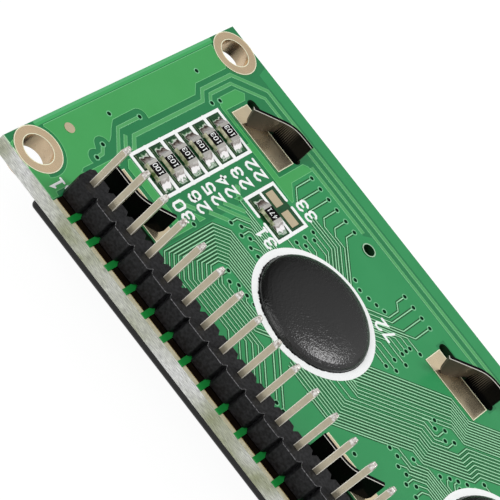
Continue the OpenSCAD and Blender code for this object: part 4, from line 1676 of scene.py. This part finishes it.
@dataclass
class EpoxySkirts:
    """The thin ragged foot of each epoxy dome, where it crept over the print."""

    levels: Levels
    rings: tuple[PrintRing, ...]
    thick: float = 0.075
    steps: int = 260
    creep_towards: float = 245
    creep_spread: float = 0.7
    creep: float = 0.15
    lap: float = 0.02
    jitter: float = 0.03
    slot: str = "epoxy"

    def outline(self, ring: PrintRing, draw: random.Random) -> Path:
        """Draws the foot's line, ragged towards the header, where it crept furthest.

        Args:
            ring: the print ring round the dome.
            draw: the source of chance.

        Returns:
            The outline.
        """
        points = []
        for i in range(self.steps):
            angle = 2 * math.pi * i / self.steps
            toward = max(0.0, math.cos(angle - math.radians(self.creep_towards))) ** self.creep_spread
            reach = ring.inner + self.lap + draw.random() * self.jitter
            reach += toward * self.creep * draw.random() ** 2
            points.append((ring.x + reach * math.cos(angle), ring.y + reach * math.sin(angle)))
        return points

    def build(self) -> bpy.types.Object:
        """Makes both feet as one piece.

        Returns:
            The finished piece.
        """
        draw = random.Random(FIXED_SEED)
        outlines = whole([self.outline(ring, draw) for ring in self.rings])
        mesh = plate("epoxy_skirts", outlines, self.levels.face, self.thick)
        mesh.materials.append(EPOXY.make())
        return settle(link("epoxy_skirts", mesh), self.slot)


@dataclass
class BrightEdges:
    """Thin bright lines of painted highlight along the tabs' sheared edges, the lands' rims and the copper
    fields' edges.
    """

    tab_line: float = 0.09
    land_line: float = 0.085
    field_line: float = 0.07
    skin: float = 0.012
    reach: float = 0.02
    weld: float = 1e-4
    front_share: float = 0.3

    def level_faces(self, source: bpy.types.Object, height: float) -> bmesh.types.BMesh:
        """Copies a piece and keeps only its level faces at one height.

        Args:
            source: the piece.
            height: the height of the faces, in metres.

        Returns:
            The kept faces.
        """
        shell = bmesh.new()
        shell.from_mesh(source.data)
        bmesh.ops.remove_doubles(shell, verts=shell.verts, dist=self.weld * MM)
        away = [v for v in shell.verts if abs(v.co.z - height) > self.reach * MM]
        bmesh.ops.delete(shell, geom=away, context="VERTS")
        loose = [v for v in shell.verts if not v.link_faces]
        bmesh.ops.delete(shell, geom=loose, context="VERTS")
        return shell

    def faces_front(self, face: bmesh.types.BMFace) -> bool:
        """Tells whether a rim face lies on the side towards the header.

        Args:
            face: a face of the rim.

        Returns:
            True when it does.
        """
        outer = [e for e in face.edges if e.is_boundary]
        if not outer:
            return False
        out = (outer[0].verts[0].co + outer[0].verts[1].co) / 2 - face.calc_center_median()
        return out.y < -self.front_share * out.length

    def lay(self, name: str, source: bpy.types.Object, width: float, front_only: bool, finish: Finish,
            slot: str) -> bpy.types.Object:
        """Lays a line of painted highlight along the rim of a piece's highest faces.

        Args:
            name: the new piece's name.
            source: the piece that the line follows.
            width: the line's width, in millimetres.
            front_only: keeps only the line towards the header.
            finish: the line's finish.
            slot: the record's material slot.

        Returns:
            The finished piece.
        """
        height = max(vert.co.z for vert in source.data.vertices)
        shell = self.level_faces(source, height)
        rim = bmesh.ops.inset_region(shell, faces=shell.faces[:], thickness=width * MM, use_boundary=True,
                                      use_even_offset=True)
        kept = {face for face in rim["faces"] if not front_only or self.faces_front(face)}
        bmesh.ops.delete(shell, geom=[f for f in shell.faces if f not in kept], context="FACES")
        for vert in shell.verts:
            vert.co.z = height - self.skin * MM / 2
        made = bmesh.ops.extrude_face_region(shell, geom=shell.faces[:], use_keep_orig=True)
        for item in made["geom"]:
            if isinstance(item, bmesh.types.BMVert):
                item.co.z += self.skin * MM
        bmesh.ops.recalc_face_normals(shell, faces=shell.faces)
        mesh = bpy.data.meshes.new(name)
        shell.to_mesh(mesh)
        shell.free()
        mesh.materials.append(finish.make())
        return settle(link(name, mesh), slot)

    def build(self, fields: bpy.types.Object) -> list[bpy.types.Object]:
        """Lays the painted highlight lines on the tabs, the lands beside them, the mounting rings and the
        copper fields.

        Args:
            fields: the finished copper fields.

        Returns:
            The finished pieces.
        """
        nodes = frame["nodes"]
        return [self.lay("tab_edge_highlights", nodes["bezel"], self.tab_line, True, CUT_STEEL_HIGHLIGHT, "black_steel"),
                self.lay("tab_land_rim_highlights", nodes["tab_lands"], self.land_line, False, LAND_HIGHLIGHT, "gold_land"),
                self.lay("ring_rim_highlights", nodes["mounting_rings"], self.land_line, False, LAND_HIGHLIGHT, "gold_land"),
                self.lay("field_edge_highlights", fields, self.field_line, False, FIELD_HIGHLIGHT, "board_laminate")]


@dataclass
class HeaderDress:
    """The header's rounded housing, the bridges between its lands and the bare rim before them."""

    levels: Levels
    patterns: Patterns
    count: int = 16
    pitch: float = 2.54
    first_x: float = -32.0
    edge_y: float = -18.0
    land_front: float = -17.55
    bridge_back: float = -13.3
    inset: float = 0.01
    rim_long: float = 1.9
    rim_thick: float = 0.012
    bridge_long: float = 0.62
    bridge_thick: float = 0.1
    round: float = 0.08
    pin_round: float = 0.06
    tip: float = 0.52
    weld: float = 1e-3
    flat_turn: float = 1
    sharp_turn: float = 20
    lit_share: float = 0.3
    tip_share: float = 0.1
    slot: str = "board_laminate"

    def softened(self, name: str, node: str, width: float, finishes: tuple[Finish, ...],
                 slot: str) -> bpy.types.Object:
        """Puts a copy of a CAD node with broken edges in the node's place.

        Args:
            name: the new piece's name.
            node: the CAD node.
            width: how far the edges are broken, in millimetres.
            finishes: for the faces, for the broken edges' painted highlight and, when there is a third, for
                the painted highlight on the upper tips.
            slot: the record's material slot.

        Returns:
            The finished piece.
        """
        mesh = frame["nodes"][node].data.copy()
        mesh.name = name
        mesh.materials.clear()
        shell = bmesh.new()
        shell.from_mesh(mesh)
        bmesh.ops.remove_doubles(shell, verts=shell.verts, dist=self.weld * MM)
        bmesh.ops.dissolve_limit(shell, angle_limit=math.radians(self.flat_turn), verts=shell.verts,
                                 edges=shell.edges)
        sharp = [e for e in shell.edges
                 if len(e.link_faces) == 2 and e.calc_face_angle(0) > math.radians(self.sharp_turn)]
        broken = bmesh.ops.bevel(shell, geom=sharp, offset=width * MM, segments=2, profile=0.6,
                                 affect="EDGES", clamp_overlap=True)
        tipped = len(finishes) > 2
        for face in shell.faces:
            face.material_index = 0
        for face in broken["faces"]:
            # broken edges facing up and towards the header take the painted highlight
            lit_edge = face.normal.z > self.lit_share and face.normal.y < -self.lit_share
            face.material_index = 1 if lit_edge or tipped else 0
        if tipped:
            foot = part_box(node)[1].z - self.tip * MM
            for face in shell.faces:
                if face.calc_center_median().z > foot and face.normal.z > self.tip_share:
                    face.material_index = 2
        shell.to_mesh(mesh)
        shell.free()
        for finish in finishes:
            mesh.materials.append(finish.make())
        body = link(name, mesh)
        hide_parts(node)
        return settle(body, slot)

    def row(self, name: str, first: float, count: int, low: float, high: float, long: float,
            thick: float, finish: Finish) -> bpy.types.Object:
        """Sets a row of tiles along the header, at its pitch.

        Args:
            name: the new piece's name.
            first: place of the first tile along the header, in millimetres.
            count: how many tiles there are.
            low: the side of the tiles towards the board's edge, in millimetres.
            high: the side of the tiles away from the edge, in millimetres.
            long: a tile's length along the header, in millimetres.
            thick: a tile's thickness, in millimetres.
            finish: the tiles' finish.

        Returns:
            The finished piece.
        """
        middle = (low + high) / 2
        line = [(first + i * self.pitch, middle) for i in range(count)]
        seed = threads(name + "_line", [line], self.levels.face + thick * MM / 2)
        piece = self.patterns.tile.grow(name, seed, Long=long, Wide=high - low, Thick=thick,
                                        Finish=finish.make())
        return settle(piece, self.slot)

    def build(self) -> list[bpy.types.Object]:
        """Makes the housing, the pins, the bridges and the bare rim.

        Returns:
            The finished pieces.
        """
        front = self.edge_y + self.inset
        rim = self.row("bare_rim", self.first_x, self.count, front, self.land_front + self.inset,
                       self.rim_long, self.rim_thick, BARE)
        bridges = self.row("resist_bridges", self.first_x + self.pitch / 2, self.count - 1, front,
                           self.bridge_back, self.bridge_long, self.bridge_thick, BRIDGE)
        housing = self.softened("header_body", "header_housing", self.round, (MOULDED, MOULDED_HIGHLIGHT), "black_plastic")
        pin_looks = (TINNED, PIN_HIGHLIGHT, PIN_TIP_HIGHLIGHT)
        pins = self.softened("pin_set", "header_pins", self.pin_round, pin_looks, "tinned_pin")
        return [housing, pins, rim, bridges]


@dataclass
class DisplayDots:
    """The display's character cells, faint dots on the glass behind the window."""

    patterns: Patterns
    columns: int = 16
    rows: int = 2
    dots_across: int = 5
    dots_down: int = 8
    cell: Point = (3.55, 5.95)
    dot: Point = (0.56, 0.6)
    step: Point = (0.6, 0.65)
    thick: float = 0.02
    slot: str = "polariser"

    def build(self) -> bpy.types.Object:
        """Sets a tile for each dot.

        Returns:
            The finished piece.
        """
        low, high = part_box("front_polariser")
        middle = (low + high) / (2 * MM)
        across = [middle.x + cell + dot for cell in spread(self.columns, self.cell[0])
                  for dot in spread(self.dots_across, self.step[0])]
        down = [middle.y + cell + dot for cell in spread(self.rows, self.cell[1])
                for dot in spread(self.dots_down, self.step[1])]
        places = [(x, y) for x in across for y in down]
        seed = threads("dot_places", [places], low.z)
        piece = self.patterns.tile.grow("display_dots", seed, Long=self.dot[0], Wide=self.dot[1],
                                        Thick=self.thick, Finish=DOT.make())
        return settle(piece, self.slot)


@dataclass
class Studio:
    """Camera, soft lamps, pale floor and world."""

    eye: tuple[float, float, float] = (-0.000081, -0.175395, 0.146182)
    turn: tuple[float, float, float] = (40.4695, -35.6746, 41.0855)
    lens: float = 180.725
    fill: float = 0.36
    floor_colour: Colour = (0.80, 0.80, 0.80)
    seen_colour: Colour = (0.12, 0.12, 0.12)
    floor_lift: float = 0.94
    floor_half: float = 1.5
    clearance: float = 0.003
    sky: Point = (0.12, 0.98)
    tilt: float = 0.8
    horizon: float = -0.02
    from_below: float = 0.6

    def camera(self) -> None:
        """Makes the scene's camera."""
        data = bpy.data.cameras.new("camera")
        data.lens = self.lens
        data.sensor_width = 36
        data.clip_start = 0.005
        eye = bpy.data.objects.new("camera", data)
        eye.location = self.eye
        eye.rotation_euler = [math.radians(a) for a in self.turn]
        bpy.context.scene.collection.objects.link(eye)
        bpy.context.scene.camera = eye

    def lamp(self, name: str, towards: tuple[float, float, float], distance: float, size: float,
             power: float) -> None:
        """Hangs one square lamp that faces the module.

        Args:
            name: the lamp's name.
            towards: direction from the module to the lamp.
            distance: how far off it hangs, in metres.
            size: its side, in metres.
            power: its power, in watts.
        """
        data = bpy.data.lights.new(name, "AREA")
        data.size = size
        data.energy = power
        lamp = bpy.data.objects.new(name, data)
        way = Vector(towards).normalized()
        lamp.location = way * distance
        lamp.rotation_euler = way.to_track_quat("Z", "Y").to_euler()
        bpy.context.scene.collection.objects.link(lamp)

    def floor(self) -> None:
        """Lays a pale floor under the bezel's face.

        It is clear from below and to rays that start close to it, so that the face that lies on it is lit.
        """
        mesh = bpy.data.meshes.new("floor")
        corners = oblong(-self.floor_half, self.floor_half, -self.floor_half, self.floor_half)
        mesh.from_pydata([(x, y, 0) for x, y in corners], [], [(0, 1, 2, 3)])
        material = bpy.data.materials.new("floor")
        material.use_nodes = True
        wiring = Wiring(material.node_tree)
        wiring.tree.nodes.clear()
        path = wiring.put("ShaderNodeLightPath")
        seen = path.outputs["Is Camera Ray"]
        colour = wiring.mix(seen, rgba(self.floor_colour), rgba(self.seen_colour))
        matt = wiring.put("ShaderNodeBsdfDiffuse", {"Color": colour})
        glow = wiring.put("ShaderNodeEmission", {"Strength": wiring.times(seen, self.floor_lift)})
        both = wiring.put("ShaderNodeAddShader", {0: matt.outputs[0], 1: glow.outputs[0]})
        clear = wiring.put("ShaderNodeBsdfTransparent")
        close = wiring.calc("LESS_THAN", path.outputs["Ray Length"], self.clearance)
        below = wiring.calc("MAXIMUM", wiring.put("ShaderNodeNewGeometry").outputs["Backfacing"], close)
        shown = wiring.put("ShaderNodeMixShader", {0: below, 1: both.outputs[0], 2: clear.outputs[0]})
        wiring.put("ShaderNodeOutputMaterial", {"Surface": shown.outputs[0]})
        mesh.materials.append(material)
        link("floor", mesh)

    def world(self) -> None:
        """Gives an even fill, more of it from below, white to the camera and a sky for reflections."""
        world = bpy.data.worlds.new("world")
        world.use_nodes = True
        wiring = Wiring(world.node_tree)
        wiring.tree.nodes.clear()
        paths = wiring.put("ShaderNodeLightPath")
        way = wiring.split("Generated")
        rise = wiring.calc("ADD", way[2], wiring.times(way[0], self.tilt))
        sky = wiring.ramp(rise, 0.0, 1.0, *self.sky)
        bright = wiring.times(paths.outputs["Is Glossy Ray"], wiring.calc("SUBTRACT", sky, self.fill))
        plain = wiring.calc("MAXIMUM", paths.outputs["Is Camera Ray"], paths.outputs["Is Transmission Ray"])
        below = wiring.times(wiring.calc("LESS_THAN", way[2], self.horizon), self.from_below)
        dim = wiring.calc("ADD", wiring.calc("ADD", bright, below), self.fill)
        light = {"Color": (1, 1, 1, 1), "Strength": wiring.calc("MAXIMUM", plain, dim)}
        glow = wiring.put("ShaderNodeBackground", light)
        wiring.put("ShaderNodeOutputWorld", {"Surface": glow.outputs[0]})
        bpy.context.scene.world = world

    def build(self) -> None:
        """Sets the studio up."""
        self.camera()
        self.floor()
        self.world()
        self.lamp("key", (0.38, 0.345, 0.858), distance=0.7, size=0.24, power=2.35)
        self.lamp("front", (-0.5, -0.75, 0.7), distance=0.8, size=0.6, power=2.9)
        bpy.context.scene.view_settings.view_transform = "Standard"


def dress_nodes() -> None:
    """Gives every CAD node its finish."""
    for name, node in frame["nodes"].items():
        finish = NODE_FINISH[name].make()
        for place in node.material_slots:
            place.material = finish
        log.info("%s: finish %s", name, finish.name)


def main() -> None:
    """Builds the dressed module in order."""
    logging.basicConfig(level=logging.INFO, format="%(message)s")
    Studio().build()
    dress_nodes()
    levels = Levels.read()
    patterns = Patterns()
    rings = (PrintRing.around("controller_dome"), PrintRing.around("driver_dome"))
    fields = CopperFields(levels).build()[0]
    TrackWork(levels, patterns, *rings).build()
    ViaWork(levels, patterns).build()
    PrintWork(levels, rings).build()
    ResistorCodes(levels).build()
    EpoxySkirts(levels, rings).build()
    BrightEdges().build(fields)
    HeaderDress(levels, patterns).build()
    DisplayDots(patterns).build()
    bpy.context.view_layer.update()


if __name__ == "__main__":
    main()
